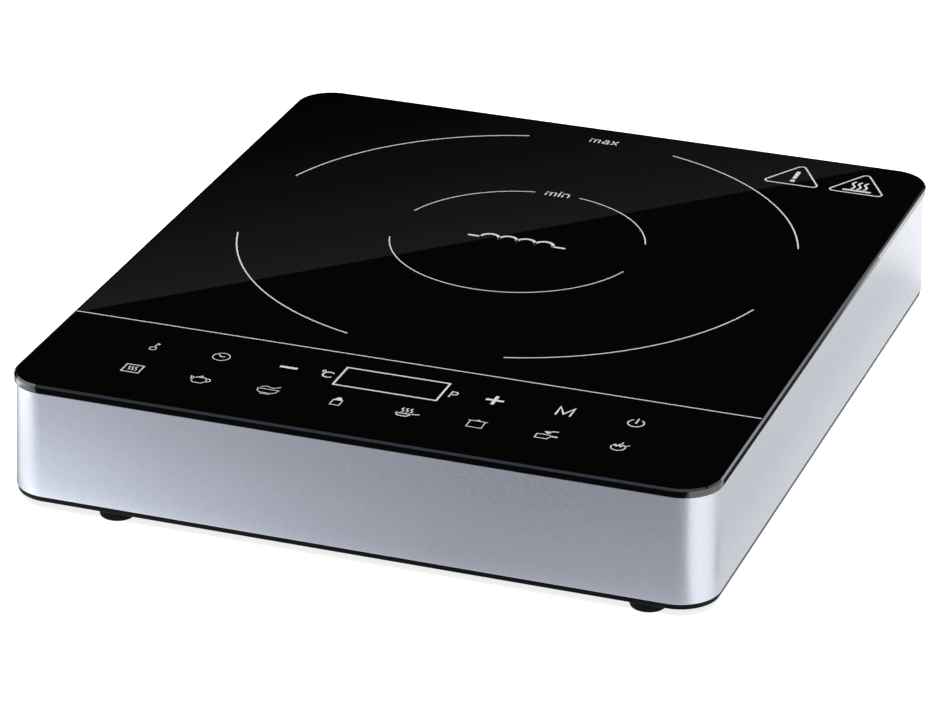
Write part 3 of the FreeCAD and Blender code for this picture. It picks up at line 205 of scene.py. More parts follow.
def piece(item, material, replaces=(), body="hob"):
    """Gives a mesh its material and its place in the frame."""
    item.data.materials.clear()
    item.data.materials.append(material)
    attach(item, body)
    if replaces:
        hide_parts(*replaces)
    return item


def apply_modifiers(item):
    graph = bpy.context.evaluated_depsgraph_get()
    mesh = bpy.data.meshes.new_from_object(item.evaluated_get(graph))
    item.modifiers.clear()
    item.data = mesh


def combine(item, tool_bm, operation):
    """Adds a closed tool mesh to the item, or cuts it away, and drops the tool."""
    tool = to_object(tool_bm, "tool")
    boolean = item.modifiers.new("combine", "BOOLEAN")
    boolean.operation = operation
    boolean.solver = "EXACT"
    boolean.object = tool
    apply_modifiers(item)
    bpy.data.objects.remove(tool)


def ease_edges(item, width):
    """Takes the sharpness off every edge and keeps the flats flat."""
    least_angle, area_weight = 40, 100
    bevel = item.modifiers.new("ease", "BEVEL")
    bevel.width = width
    bevel.segments = 2
    bevel.limit_method = "ANGLE"
    bevel.angle_limit = math.radians(least_angle)
    weighted = item.modifiers.new("flats", "WEIGHTED_NORMAL")
    weighted.keep_sharp = False
    weighted.weight = area_weight


# ---------------------------------------------------------------- materials

# The places of a Mix node's colour sockets, whose names its other data types share.
MIX_BASE, MIX_OTHER, MIX_RESULT = 6, 7, 2


class Finish:
    """A procedural material: one colour and gloss, varied by textures of a real size in metres."""

    def __init__(self, name, colour, roughness, metallic=0.0, specular=0.5):
        self.material = bpy.data.materials.new(name)
        self.material.use_nodes = True
        self.nodes = self.material.node_tree.nodes
        self.links = self.material.node_tree.links
        self.shader = self.nodes["Principled BSDF"]
        self.colour = colour
        self.normal = None
        self.shader.inputs["Base Color"].default_value = (*colour, 1)
        self.shader.inputs["Roughness"].default_value = roughness
        self.shader.inputs["Metallic"].default_value = metallic
        self.shader.inputs["Specular IOR Level"].default_value = specular
        self.place = self.nodes.new("ShaderNodeTexCoord").outputs["Object"]

    def add(self, kind, **values):
        made = self.nodes.new("ShaderNode" + kind)
        for name, value in values.items():
            setattr(made, name, value)
        return made

    def stretched(self, size, stretch=(1, 1, 1)):
        """Coordinates in which one unit is the texture's size."""
        mapping = self.add("Mapping")
        mapping.inputs["Scale"].default_value = [share / size for share in stretch]
        self.links.new(self.place, mapping.inputs["Vector"])
        return mapping.outputs["Vector"]

    def noise(self, size, detail=2.0, stretch=(1, 1, 1)):
        texture = self.add("TexNoise")
        texture.inputs["Scale"].default_value = 1.0
        texture.inputs["Detail"].default_value = detail
        self.links.new(self.stretched(size, stretch), texture.inputs["Vector"])
        return texture.outputs["Fac"]

    def cells(self, size, randomness=1.0):
        texture = self.add("TexVoronoi", feature="F1")
        texture.inputs["Scale"].default_value = 1.0
        texture.inputs["Randomness"].default_value = randomness
        self.links.new(self.stretched(size), texture.inputs["Vector"])
        return texture.outputs["Distance"]

    def bands(self, size, direction, warp, stretch=(1, 1, 1)):
        texture = self.add("TexWave", bands_direction=direction)
        texture.inputs["Scale"].default_value = 1.0
        texture.inputs["Distortion"].default_value = warp
        self.links.new(self.stretched(size, stretch), texture.inputs["Vector"])
        return texture.outputs["Fac"]

    def spread(self, value, low, high, start=0.3, end=0.7):
        """Maps a texture's middle range to low..high."""
        ranged = self.add("MapRange")
        limits = {"From Min": start, "From Max": end, "To Min": low, "To Max": high}
        for socket, limit in limits.items():
            ranged.inputs[socket].default_value = limit
        self.links.new(value, ranged.inputs["Value"])
        return ranged.outputs["Result"]

    def gloss(self, value, low, high):
        self.links.new(self.spread(value, low, high), self.shader.inputs["Roughness"])

    def tint(self, value, other, start=0.3, end=0.7):
        """Another colour where the texture is high. Later tints lie over earlier ones."""
        mix = self.add("Mix", data_type="RGBA")
        mix.inputs[MIX_BASE].default_value = (*self.colour, 1)
        mix.inputs[MIX_OTHER].default_value = (*other, 1)
        base = self.shader.inputs["Base Color"]
        if base.is_linked:
            self.links.new(base.links[0].from_socket, mix.inputs[MIX_BASE])
        self.links.new(self.spread(value, 0.0, 1.0, start, end), mix.inputs["Factor"])
        self.links.new(mix.outputs[MIX_RESULT], base)

    def mottle(self, value, share):
        """Light and dark patches, each a share away from the colour."""
        darker = [channel * (1 - share) for channel in self.colour]
        lighter = [channel * (1 + share) for channel in self.colour]
        self.colour = darker
        self.tint(value, lighter)

    def relief(self, value, depth):
        """A bump of real depth. Later reliefs lie on top of earlier ones."""
        bump = self.add("Bump")
        bump.inputs["Strength"].default_value = 1.0
        bump.inputs["Distance"].default_value = depth
        self.links.new(value, bump.inputs["Height"])
        if self.normal:
            self.links.new(self.normal, bump.inputs["Normal"])
        self.normal = bump.outputs["Normal"]
        self.links.new(self.normal, self.shader.inputs["Normal"])


def polished_glass(name, colour, transmission=0.0):
    made = Finish(name, colour, 0.03)
    made.gloss(made.noise(60 * MM, detail=3), 0.0, 0.01)
    made.relief(made.noise(90 * MM, detail=0), 0.002 * MM)
    made.shader.inputs["IOR"].default_value = 1.5
    made.shader.inputs["Transmission Weight"].default_value = transmission
    return made.material


def ground_edge():
    """The rim of the glass: ground with a fine wheel, then polished until faint lines are left."""
    made = Finish("ground_edge", (0.0015, 0.0015, 0.002), 0.04, specular=1.0)
    scratches = made.noise(0.3 * MM, detail=3, stretch=(1, 1, 4))
    made.mottle(scratches, 0.2)
    made.gloss(scratches, 0.02, 0.06)
    made.relief(scratches, 0.0004 * MM)
    return made.material


def print_enamel():
    """The ceramic ink of the marks: white, with a fired grain."""
    made = Finish("print_enamel", (0.88, 0.9, 0.93), 0.35)
    made.mottle(made.noise(0.4 * MM), 0.06)
    made.gloss(made.noise(0.3 * MM), 0.28, 0.45)
    return made.material


def satin_metal(name, colour, roughness):
    """A sprayed or blasted metal: fine sparkle, no direction."""
    grain, depth = 0.5 * MM, 0.008 * MM
    made = Finish(name, colour, roughness, metallic=1.0)
    made.mottle(made.noise(grain, detail=3), 0.09)
    made.gloss(made.noise(grain * 3, detail=3), roughness - 0.05, roughness + 0.05)
    made.relief(made.noise(grain, detail=4), depth)
    return made.material


def brushed_metal(name, colour, roughness, stretch=(1, 12, 1)):
    made = Finish(name, colour, roughness, metallic=1.0)
    lines = made.noise(1.5 * MM, detail=4, stretch=stretch)
    made.mottle(lines, 0.08)
    made.gloss(lines, roughness - 0.08, roughness + 0.08)
    made.relief(lines, 0.004 * MM)
    return made.material


def moulded(name, colour, roughness, grain=0.7 * MM, depth=0.012 * MM, specular=0.5):
    """Injection-moulded plastic with a spark-eroded grain and faint flow patches."""
    made = Finish(name, colour, roughness, specular=specular)
    made.mottle(made.noise(25 * MM, detail=3), 0.12)
    made.gloss(made.noise(6 * MM, detail=4), roughness - 0.06, roughness + 0.06)
    made.relief(made.noise(grain, detail=3), depth)
    return made.material


def soft_rubber(name, colour, roughness=0.75, specular=0.3):
    made = Finish(name, colour, roughness, specular=specular)
    made.mottle(made.noise(3 * MM, detail=5), 0.2)
    made.gloss(made.noise(2 * MM, detail=4), roughness - 0.1, roughness + 0.08)
    made.relief(made.noise(0.35 * MM, detail=3), 0.01 * MM)
    return made.material


def wound_wire(name, colour, pitch):
    """Enamelled copper laid in strands, with painted shade in the grooves between them."""
    made = Finish(name, colour, 0.32, metallic=1.0)
    strands = made.bands(pitch, "DIAGONAL", warp=0.6)
    # Painted shade: each strand darkens towards the grooves between the strands.
    groove_shade = [channel * 0.45 for channel in colour]
    made.tint(strands, groove_shade, 0.1, 0.9)
    made.gloss(made.noise(2 * MM), 0.25, 0.42)
    made.relief(strands, pitch * 0.12)
    return made.material


def fired(name, colour, roughness):
    """Ferrite, magnets and other sintered parts: dense, dull and finely pitted."""
    grain = 0.25 * MM
    made = Finish(name, colour, roughness)
    made.mottle(made.noise(grain * 8, detail=5), 0.18)
    pits = made.cells(grain)
    made.gloss(made.noise(grain * 4), roughness - 0.08, roughness + 0.08)
    made.relief(pits, grain * 0.04)
    return made.material


def mica():
    made = Finish("mica", (0.66, 0.6, 0.5), 0.35)
    flakes = made.cells(2.5 * MM)
    made.tint(flakes, (0.5, 0.43, 0.33), 0.2, 0.8)
    made.gloss(flakes, 0.2, 0.5)
    made.relief(flakes, 0.03 * MM)
    return made.material


def felt():
    """Needled ceramic fibre."""
    made = Finish("ceramic_felt", (0.86, 0.86, 0.84), 0.95, specular=0.1)
    fibres = made.noise(1.2 * MM, detail=6, stretch=(1, 3, 1))
    made.mottle(fibres, 0.06)
    made.relief(fibres, 0.15 * MM)
    made.relief(made.noise(0.5 * MM, detail=5, stretch=(3, 1, 1)), 0.08 * MM)
    made.shader.inputs["Sheen Weight"].default_value = 0.3
    return made.material


def circuit_board():
    """Solder mask over copper tracks, with rows of tinned holes."""
    bare, over_copper, tin = (0.03, 0.16, 0.07), (0.07, 0.28, 0.12), (0.62, 0.6, 0.5)
    made = Finish("circuit_board", bare, 0.3)
    tracks = made.bands(5 * MM, "X", warp=3.0, stretch=(1, 0.4, 1))
    made.tint(tracks, over_copper, 0.45, 0.6)
    holes = made.cells(2.54 * MM, randomness=0.0)
    made.tint(holes, tin, 0.22, 0.16)
    made.gloss(made.noise(4 * MM), 0.22, 0.38)
    made.relief(tracks, 0.03 * MM)
    return made.material


def label_foil():
    """Silver foil, brushed across, with no words."""
    made = Finish("label_foil", (0.72, 0.72, 0.73), 0.35, metallic=1.0)
    lines = made.noise(0.8 * MM, detail=3, stretch=(0.05, 1, 1))
    made.mottle(lines, 0.06)
    made.gloss(lines, 0.28, 0.42)
    made.relief(lines, 0.003 * MM)
    return made.material


def wrapped(name, colour, roughness, pitch=2 * MM):
    """Tape or sleeve film, with the laps showing as fine ridges."""
    made = Finish(name, colour, roughness)
    laps = made.bands(pitch, "Z", warp=0.3)
    made.mottle(made.noise(5 * MM, detail=3), 0.1)
    made.gloss(laps, roughness - 0.06, roughness + 0.06)
    made.relief(laps, 0.02 * MM)
    return made.material


FINISHES = {
    "black_glass": polished_glass("black_glass", (0.0008, 0.0008, 0.0008)),
    "silver_housing": satin_metal("silver_housing", (0.54, 0.56, 0.6), 0.36),
    "black_tray": moulded("black_tray", (0.0025, 0.0025, 0.003), 0.5, specular=0.08),
    "black_rubber": soft_rubber("black_rubber", (0.003, 0.003, 0.003), specular=0.08),
    "clear_silicone": soft_rubber("clear_silicone", (0.3, 0.3, 0.3), 0.4),
    "label_foil": label_foil(),
    "bushing_plastic": moulded("bushing_plastic", (0.012, 0.012, 0.012), 0.42),
    "fan_plastic": moulded("fan_plastic", (0.014, 0.014, 0.016), 0.4),
    "bronze": satin_metal("bronze", (0.6, 0.42, 0.22), 0.4),
    "lamination_steel": wrapped("lamination_steel", (0.35, 0.35, 0.37), 0.4, 0.5 * MM),
    "copper_wire": wound_wire("copper_wire", (0.72, 0.33, 0.16), 0.9 * MM),
    "magnet": fired("magnet", (0.08, 0.08, 0.085), 0.6),
    "shaft_steel": brushed_metal("shaft_steel", (0.7, 0.7, 0.72), 0.2, (1, 1, 12)),
    "carrier_plastic": moulded("carrier_plastic", (0.05, 0.05, 0.055), 0.5),
    "ferrite": fired("ferrite", (0.07, 0.07, 0.075), 0.55),
    "mica": mica(),
    "ceramic_felt": felt(),
    "white_silicone": soft_rubber("white_silicone", (0.85, 0.85, 0.83), 0.55),
    "thermistor": moulded("thermistor", (0.75, 0.2, 0.12), 0.25, 0.3 * MM),
    "circuit_board": circuit_board(),
    "sink_aluminium": brushed_metal("sink_aluminium", (0.7, 0.71, 0.72), 0.38),
    "device_epoxy": moulded("device_epoxy", (0.03, 0.03, 0.035), 0.55, 0.3 * MM),
    "film_capacitor": moulded("film_capacitor", (0.72, 0.5, 0.06), 0.35, 1.5 * MM),
    "choke_core": fired("choke_core", (0.1, 0.32, 0.16), 0.45),
    "fuse_glass": polished_glass("fuse_glass", (0.8, 0.82, 0.8), 0.8),
    "varistor_blue": moulded("varistor_blue", (0.05, 0.16, 0.45), 0.25, 1.2 * MM),
    "transformer_tape": wrapped("transformer_tape", (0.75, 0.62, 0.12), 0.35),
    "can_sleeve": wrapped("can_sleeve", (0.04, 0.06, 0.16), 0.3, 4 * MM),
    "socket_nylon": moulded("socket_nylon", (0.85, 0.84, 0.8), 0.45),
    "brass": satin_metal("brass", (0.75, 0.58, 0.28), 0.3),
    "terminal_plastic": moulded("terminal_plastic", (0.75, 0.75, 0.72), 0.45),
    "conductive_foam": soft_rubber("conductive_foam", (0.06, 0.06, 0.065), 0.9),
    "display_face": moulded("display_face", (0.03, 0.03, 0.035), 0.12, 3 * MM, 0.002 * MM),
    "lead_insulation": soft_rubber("lead_insulation", (0.55, 0.08, 0.05), 0.45),
    "ribbon": wrapped("ribbon", (0.55, 0.55, 0.56), 0.45, 1.27 * MM),
    "screw_steel": brushed_metal("screw_steel", (0.55, 0.55, 0.57), 0.3),
}


def finish_cad_nodes():
    """Every CAD node takes the procedural finish of its own slot."""
    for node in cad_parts.values():
        for holder in node.material_slots:
            holder.material = FINISHES[holder.material.name]


# ---------------------------------------------------------------- glass, band and tray parts

def glass_plate():
    """Black glass with a ground facet along its upper edge and a fine arris along its lower one.

    The corners without a radius keep the shading of the flats beside them level.
    """
    top = GLASS_TOP - PRINT_RISE
    profile = eased([
        (-GLASS_MARGIN, GLASS_FOOT, 0),
        (-GLASS_ARRIS, GLASS_FOOT, GLASS_ARRIS / 2),
        (0, GLASS_FOOT + GLASS_ARRIS, GLASS_ARRIS / 2),
        (0, GLASS_FOOT + 2 * GLASS_ARRIS, 0),
        (0, top - GLASS_FACET - GLASS_ARRIS, 0),
        (0, top - GLASS_FACET, GLASS_ARRIS),
        (-GLASS_FACET * 0.25, top - GLASS_FACET * 0.75, 0),
        (-GLASS_FACET * 0.75, top - GLASS_FACET * 0.25, 0),
        (-GLASS_FACET, top, GLASS_ARRIS),
        (-GLASS_MARGIN, top, 0),
    ], steps=4)
    outline = list(rounded_rectangle(GLASS_SIZE.x / 2, GLASS_SIZE.y / 2, GLASS_CORNER))
    bm = bmesh.new()
    skin(bm, [
        [centre + spoke * (GLASS_CORNER + out) + Vector((0, 0, level)) for centre, spoke in outline]
        for out, level in profile
    ])
    plate = piece(to_object(bm, "glass_top"), FINISHES["black_glass"], ["glass_plate"])
    plate.data.materials.append(ground_edge())
    least_lean = 12
    for face in plate.data.polygons:
        face.material_index = int(abs(face.normal.z) < math.cos(math.radians(least_lean)))


def rear_hole(bm, x, z, halves, corner, depths, steps=4):
    """The tool for a hole in the rear wall: a rounded rectangle, drawn out between two depths."""
    outline = [spot + spoke * corner for spot, spoke in rounded_rectangle(*halves, corner, steps)]
    skin(bm, [
        [Vector((x + point.x, depth, z + point.y)) for point in outline]
        for depth in depths
    ])


def rear_slots(bm):
    """The tools for the exhaust slots of the rear wall."""
    width, height, pitch, count = 3 * MM, 20 * MM, 7 * MM, 27
    first, level, corner = -112 * MM, 32 * MM, 0.8 * MM
    outside = BAND_SIZE.y / 2 + WALL
    inside = BAND_SIZE.y / 2 - 2 * WALL
    for number in range(count):
        rear_hole(bm, first + pitch * number, level, (width / 2, height / 2), corner, (outside, inside))


def side_housing():
    """The silver band: a drafted wall with a ledge for the glass, swept round the hob."""
    top = GLASS_FOOT
    bottom = BAND_FOOT
    wall_top = top - LEDGE_DROP - LEDGE_THICK
    profile = eased([
        (0, bottom, 0.5 * MM),
        (-BAND_FLARE, top, 0.5 * MM),
        (-BAND_FLARE - RIM, top, 0.3 * MM),
        (-BAND_FLARE - RIM, top - LEDGE_DROP, 0.2 * MM),
        (-BAND_FLARE - LEDGE, top - LEDGE_DROP, 0.3 * MM),
        (-BAND_FLARE - LEDGE, wall_top, 0.3 * MM),
        (-BAND_FLARE - WALL, wall_top, 1.2 * MM),
        (-WALL, bottom, 0.3 * MM),
    ], steps=5)
    outline = rounded_rectangle(BAND_SIZE.x / 2, BAND_SIZE.y / 2, BAND_CORNER)
    bm = bmesh.new()
    skin(bm, [
        [centre + spoke * (BAND_CORNER + out) + Vector((0, 0, level)) for out, level in profile]
        for centre, spoke in outline
    ], loop=True)
    band = to_object(bm, "silver_band")

    boss_x, boss_y = 152 * MM, 150 * MM
    boss_radius, boss_bore = 4.5 * MM, 1.55 * MM
    boss_foot, boss_top = 15 * MM, wall_top + LEDGE_THICK / 2
    boss = [
        (boss_bore, boss_foot),
        (boss_radius, boss_foot),
        (boss_radius, boss_top),
        (boss_bore, boss_top),
    ]
    added = bmesh.new()
    for x in (-boss_x, boss_x):
        for y in (-boss_y, 0, boss_y):
            lathe(added, boss, Vector((x, y, 0)), steps=CIRCLE_STEPS // 2, loop=True)
    combine(band, added, "UNION")

    inlet = middle("cord_inlet_bushing")
    rear = BAND_SIZE.y / 2
    block_half, block_depth = 14 * MM, 9 * MM
    added = bmesh.new()
    block(added, (inlet.x - block_half, rear - block_depth, inlet.z - block_half),
          (inlet.x + block_half, rear - WALL / 2 - BAND_FLARE, inlet.z + block_half))
    combine(band, added, "UNION")

    recess_half, recess_depth, recess_corner = 12 * MM, 6 * MM, 2 * MM
    recess_depths = (rear + WALL, rear - recess_depth)
    removed = bmesh.new()
    rear_hole(removed, inlet.x, inlet.z, (recess_half, recess_half), recess_corner, recess_depths, 8)
    rear_slots(removed)
    combine(band, removed, "DIFFERENCE")

    bore, arris = 6.3 * MM, 0.25 * MM
    mouth = Vector((inlet.x, rear - recess_depth + WALL / 2, inlet.z))
    removed = bmesh.new()
    lathe(removed, [(bore, -WALL), (bore, block_depth)], mouth, axis=Vector((0, -1, 0)))
    combine(band, removed, "DIFFERENCE")
    ease_edges(band, arris)
    piece(band, FINISHES["silver_housing"], ["side_housing"])


def rubber_feet():
    """Turned feet with a dished sole and a spigot up through the tray."""
    low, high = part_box("rubber_feet")
    radius, spigot, recess = 8 * MM, 2.4 * MM, 1 * MM
    pad_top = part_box("base_tray")[0].z + recess
    dish_radius, dish_depth, edge = 4.5 * MM, 1.2 * MM, 1.2 * MM
    pad_arris, spigot_arris, axis_gap = 0.3 * MM, 0.5 * MM, 0.01 * MM
    profile = [
        (axis_gap, dish_depth),
        *arc((dish_radius - dish_depth, dish_depth), axis_gap, 180, 90, 1),
        *arc((dish_radius, dish_depth), dish_depth, 180, 270),
        *arc((radius - edge, edge), edge, -90, 0),
        (radius, pad_top - pad_arris),
        (radius - pad_arris, pad_top),
        (spigot, pad_top),
        (spigot, high.z - spigot_arris),
        (spigot - spigot_arris, high.z),
        (axis_gap, high.z),
    ]
    bm = bmesh.new()
    for x in (low.x + radius, high.x - radius):
        for y in (low.y + radius, high.y - radius):
            lathe(bm, profile, Vector((x, y, 0)))
    feet = to_object(bm, "moulded_feet")
    piece(feet, FINISHES["black_rubber"], ["rubber_feet"])


def inlet_bushing():
    """The flanged bushing of the cord inlet, with a belled mouth."""
    low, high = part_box("cord_inlet_bushing")
    flange, barrel, bore = 9 * MM, 6.25 * MM, 3.7 * MM
    bell, flange_edge, lead_in = 1.2 * MM, 0.8 * MM, 0.6 * MM
    length = high.y - low.y
    flange_foot = length - 2.5 * MM
    profile = [
        *arc((bore + bell, length - bell), bell, 180, 90),
        *arc((flange - flange_edge, length - flange_edge), flange_edge, 90, 0),
        (flange, flange_foot),
        (barrel, flange_foot),
        (barrel, lead_in),
        (barrel - lead_in, 0),
        (bore, 0),
    ]
    centre = middle("cord_inlet_bushing")
    bm = bmesh.new()
    lathe(bm, profile, Vector((centre.x, low.y, centre.z)), axis=Vector((0, 1, 0)), loop=True)
    bushing = to_object(bm, "inlet_bushing")
    piece(bushing, FINISHES["bushing_plastic"], ["cord_inlet_bushing"])


def litz_coil():
    """One layer of litz wire, wound outwards from the middle of the zone."""
    low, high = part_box("induction_coil")
    inner, outer = 20 * MM, (high.x - low.x) / 2
    wire, turns, steps_per_turn, sides = 3 * MM, 23, 72, 10
    first, last = inner + wire / 2, outer - wire / 2
    steps = turns * steps_per_turn
    rings = []
    for step in range(steps + 1):
        angle = 2 * math.pi * step / steps_per_turn
        spoke = Vector((math.cos(angle), math.sin(angle), 0))
        centre = ZONE + spoke * (first + (last - first) * step / steps)
        ring = []
        for side in range(sides):
            turn = 2 * math.pi * side / sides
            rise = Vector((0, 0, math.sin(turn) * wire / 2))
            ring.append(centre + spoke * math.cos(turn) * wire / 2 + rise)
        rings.append(ring)
    bm = bmesh.new()
    skin(bm, rings)
    coil = to_object(bm, "litz_coil", sharp=60)
    piece(coil, FINISHES["copper_wire"], ["induction_coil"])


# ---------------------------------------------------------------- marks printed on the glass

ENAMEL = print_enamel()


class Print:
    """Thin white marks on the glass. Their points are millimetres from a centre set with at().

    The width is that of a stroke drawn without a width of its own.
    """

    # Where a round end has its stations, and how far an arc goes at a step, in degrees.
    END_ANGLES = (80, 55, 30)
    ARC_STEP = 3
    # The least cosine that a turn is mitred with, so that no corner reaches far out.
    LEAST_MITRE = 0.4

    def __init__(self, name, width):
        self.name = name
        self.width = width
        self.bm = bmesh.new()
        self.centre = Vector((0, 0))
        self.foot = GLASS_TOP - 2 * PRINT_RISE

    def at(self, x, y):
        """Moves the centre of what is drawn next."""
        self.centre = Vector((x + PRINT_SHIFT, y))
        return self

    def lift(self, point, level):
        """A drawn point in metres, at a level of the frame."""
        x, y = (self.centre + Vector(point)) * MM
        return Vector((x, y, level))

    def fill(self, points):
        """A solid patch with straight sides."""
        skin(self.bm, [
            [self.lift(point, level) for point in points]
            for level in (self.foot, GLASS_TOP)
        ])

    def station(self, point, side):
        """The stroke's cross-section at a point, as wide to either side as the side vector."""
        return [
            self.lift(point + side, self.foot),
            self.lift(point - side, self.foot),
            self.lift(point - side, GLASS_TOP),
            self.lift(point + side, GLASS_TOP),
        ]

    def line(self, points, width=None, closed=False):
        """A stroke of one width through the points, with round ends."""
        half = (width or self.width) / 2
        points = [Vector(point) for point in points]
        count = len(points)
        stations = []
        for number, point in enumerate(points):
            is_first = number == 0 and not closed
            is_last = number == count - 1 and not closed
            arriving = None if is_first else (point - points[number - 1]).normalized()
            leaving = None if is_last else (points[(number + 1) % count] - point).normalized()
            arriving = arriving or leaving
            leaving = leaving or arriving
            along = (arriving + leaving).normalized()
            across = Vector((-along.y, along.x))
            reach = half / max(along.dot(arriving), self.LEAST_MITRE)
            if is_first:
                stations.extend(self.round_end(point, along, across, half, -1))
            stations.append(self.station(point, across * reach))
            if is_last:
                stations.extend(self.round_end(point, along, across, half, 1))
        skin(self.bm, stations, loop=closed)

    def round_end(self, point, along, across, half, way):
        """Stations of an end: way is -1 at the start of a stroke and 1 where it stops."""
        for degrees in self.END_ANGLES[::-way]:
            angle = math.radians(degrees)
            reach = half * math.sin(angle)
            yield self.station(point + along * reach * way, across * half * math.cos(angle))

    def ring(self, centre, radius, width=None, steps=40):
        """A whole circle."""
        self.line(arc(centre, radius, 0, 360, steps)[:-1], width, closed=True)

    def sweep(self, centre, radius, start, end, width=None):
        """Part of a circle, between two angles in degrees."""
        steps = max(6, int(abs(end - start) / self.ARC_STEP))
        self.line(arc(centre, radius, start, end, steps), width)

    def made(self):
        """Turns what was drawn into one piece that rides with the hob."""
        piece(to_object(self.bm, self.name), ENAMEL)


def zone_marks():
    """Two broken rings for the largest and the smallest pan."""
    marks = Print("zone_marks", 0.7).at(ZONE.x / MM, ZONE.y / MM)
    gap, word_gap = 16.5, 11
    for quarter in range(4):
        marks.sweep((0, 0), OUTER_RING, quarter * 90 + gap, (quarter + 1) * 90 - gap)
    for start, end in ((gap, 90 - word_gap), (90 + word_gap, 180 - gap), (180 + gap, 360 - gap)):
        marks.sweep((0, 0), INNER_RING, start, end, 0.6)
    marks.made()


def small_letters(marks, word, width, height):
    """A lower-case word from arcs and straights, centred at the print's centre.

    The shares say how wide each letter is, and the gap how far apart they stand, in one unit.
    """
    stroke = marks.width
    bend = height * 0.32
    shares = {"m": 1.5, "a": 0.95, "x": 0.9, "i": 0.0, "n": 0.95}
    gap = 0.6
    total = sum(shares[letter] for letter in word) + gap * (len(word) - 1)
    unit = (width - stroke) / total
    left = -(width - stroke) / 2
    for letter in word:
        wide = shares[letter] * unit
        right = left + wide
        half = height / 2
        if letter in "mn":
            arches = 2 if letter == "m" else 1
            marks.line([(left, -half), (left, half)])
            for arch in range(arches):
                start = left + wide / arches * arch
                end = start + wide / arches
                marks.line([
                    (start, half - bend),
                    *arc((start + bend, half - bend), bend, 180, 90),
                    *arc((end - bend, half - bend), bend, 90, 0),
                    (end, -half),
                ])
        elif letter == "a":
            marks.line([
                (left + bend * 0.6, half),
                *arc((right - bend, half - bend), bend, 90, 0),
                (right, -half),
                *arc((left + bend * 0.8, -half + bend * 0.8), bend * 0.8, 270, 90),
                (right, -half + bend * 1.6),
            ])
        elif letter == "x":
            marks.line([(left, -half), (right, half)])
            marks.line([(left, half), (right, -half)])
        elif letter == "i":
            marks.line([(left, -half), (left, half)])
            marks.fill(arc((left, half + stroke * 2), stroke * 0.7, 0, 330, 11))
        left = right + gap * unit


def zone_labels():
    """The words max and min beside the rings."""
    height = 4.0
    labels = Print("zone_labels", 0.75)
    middle_y = ZONE.y / MM
    small_letters(labels.at(0, middle_y + OUTER_RING), "max", 14.2, height)
    small_letters(labels.at(0, middle_y + INNER_RING - 0.5), "min", 11.8, height)
    labels.made()


def coil_sign():
    """A plain sign in the middle: a circuit diagram's coil, four humps between two leads."""
    mark = Print("coil_sign", 1.5).at(ZONE.x / MM, ZONE.y / MM)
    humps, radius, lead, foot = 4, 4.4, 5.5, -1.2
    first = -radius * (humps - 1)
    for hump in range(humps):
        mark.sweep((first + 2 * radius * hump, foot), radius, 180, 0)
    for side in (-1, 1):
        mark.line([(side * (radius - first), foot), (side * (radius - first + lead), foot)])
    mark.made()


def panel_divider():
    """The line between the zone and the panel, across the whole glass but for a margin."""
    margin = 1.5
    half = GLASS_SIZE.x / 2 / MM - margin
    divider = Print("panel_divider", 0.65).at(-PRINT_SHIFT, 0)
    divider.line([(-half, DIVIDER), (half, DIVIDER)])
    divider.made()


def wave(marks, x, low, high, swing, width):
    """One upright, S-shaped wave of rising heat."""
    steps = 12
    points = []
    for step in range(steps + 1):
        share = step / steps
        points.append((x + swing * math.sin(2 * math.pi * share), low + (high - low) * share))
    marks.line(points, width)


def key_sign(marks):
    """A lock key."""
    marks.ring((0.2, -2.3), 1.5, 0.5)
    marks.line([(0.4, -0.8), (0.6, 3.4)])
    marks.fill([(0.6, 3.2), (1.8, 3), (1.7, 1.7), (0.5, 1.8)])


def clock_sign(marks):
    marks.ring((0.1, 0), 3.8)
    marks.line([(-1.7, 1.9), (0, 0.1), (1.3, 0.5)], 0.6)


def minus_sign(marks):
    marks.fill([(-4, -0.9), (4.1, -0.9), (4.1, 0.9), (-4, 0.9)])


def plus_sign(marks):
    long, high, thick = 4.1, 4.2, 0.8
    marks.fill([(-long, -thick), (-thick, -thick), (-thick, thick), (-long, thick)])
    marks.fill([(thick, -thick), (long, -thick), (long, thick), (thick, thick)])
    marks.fill([(-thick, -high), (thick, -high), (thick, high), (-thick, high)])


def mode_letter(marks):
    marks.line([(-3, -3.8), (-3, 3.8), (0.2, -2.6), (3.4, 3.8), (3.4, -3.8)], 0.9)


def power_sign(marks):
    marks.sweep((0.3, -0.4), 3.5, 125, 415, 0.62)
    marks.line([(0.3, -0.6), (0.3, 4)], 0.7)


def display_frame(marks):
    """The window of the display, with a degree sign and C on its left and P on its right."""
    left, right, half_y = -23.4, 23.9, 9.1
    marks.line([(left, -half_y), (right, -half_y), (right, half_y), (left, half_y)], 0.95, closed=True)
    marks.ring((-31.6, 2.2), 0.8, 0.5, 20)
    marks.sweep((-28.5, -0.8), 2.6, 50, 310, 0.8)
    marks.line([(27.6, -3.4), (27.6, 1.8), *arc((29, 0.4), 1.4, 90, -90), (27.6, -1)], 0.7)


def grill_sign(marks):
    """A tray with heat above it."""
    marks.line([(-3.8, -3.7), (4.2, -3.7), (4.2, 3.7), (-3.8, 3.7)], 0.6, closed=True)
    for x in (-1.4, 0.2, 1.8):
        wave(marks, x, -1.6, 1.8, 0.45, 0.5)


def teapot_sign(marks):
    sides = [*arc((0.5, -0.9), 2.8, -45, 70), *arc((-0.5, -0.9), 2.8, 110, 225)]
    marks.line([(-1.8, -3.6), (1.8, -3.6), *sides], 0.5, closed=True)
    marks.line([(-2.2, 1.7), (0, 2.6), (2.2, 1.7)])
    marks.fill([(-0.5, 2.6), (0.5, 2.6), (0.5, 3.5), (-0.5, 3.5)])
    marks.line([(-3.1, -1.5), (-4, -0.2), (-4.5, 1.9), (-3.4, 1.3), (-2.8, 0.6)])
    marks.line(arc((3.4, -0.3), 1.6, 120, -100, 10), 0.5)


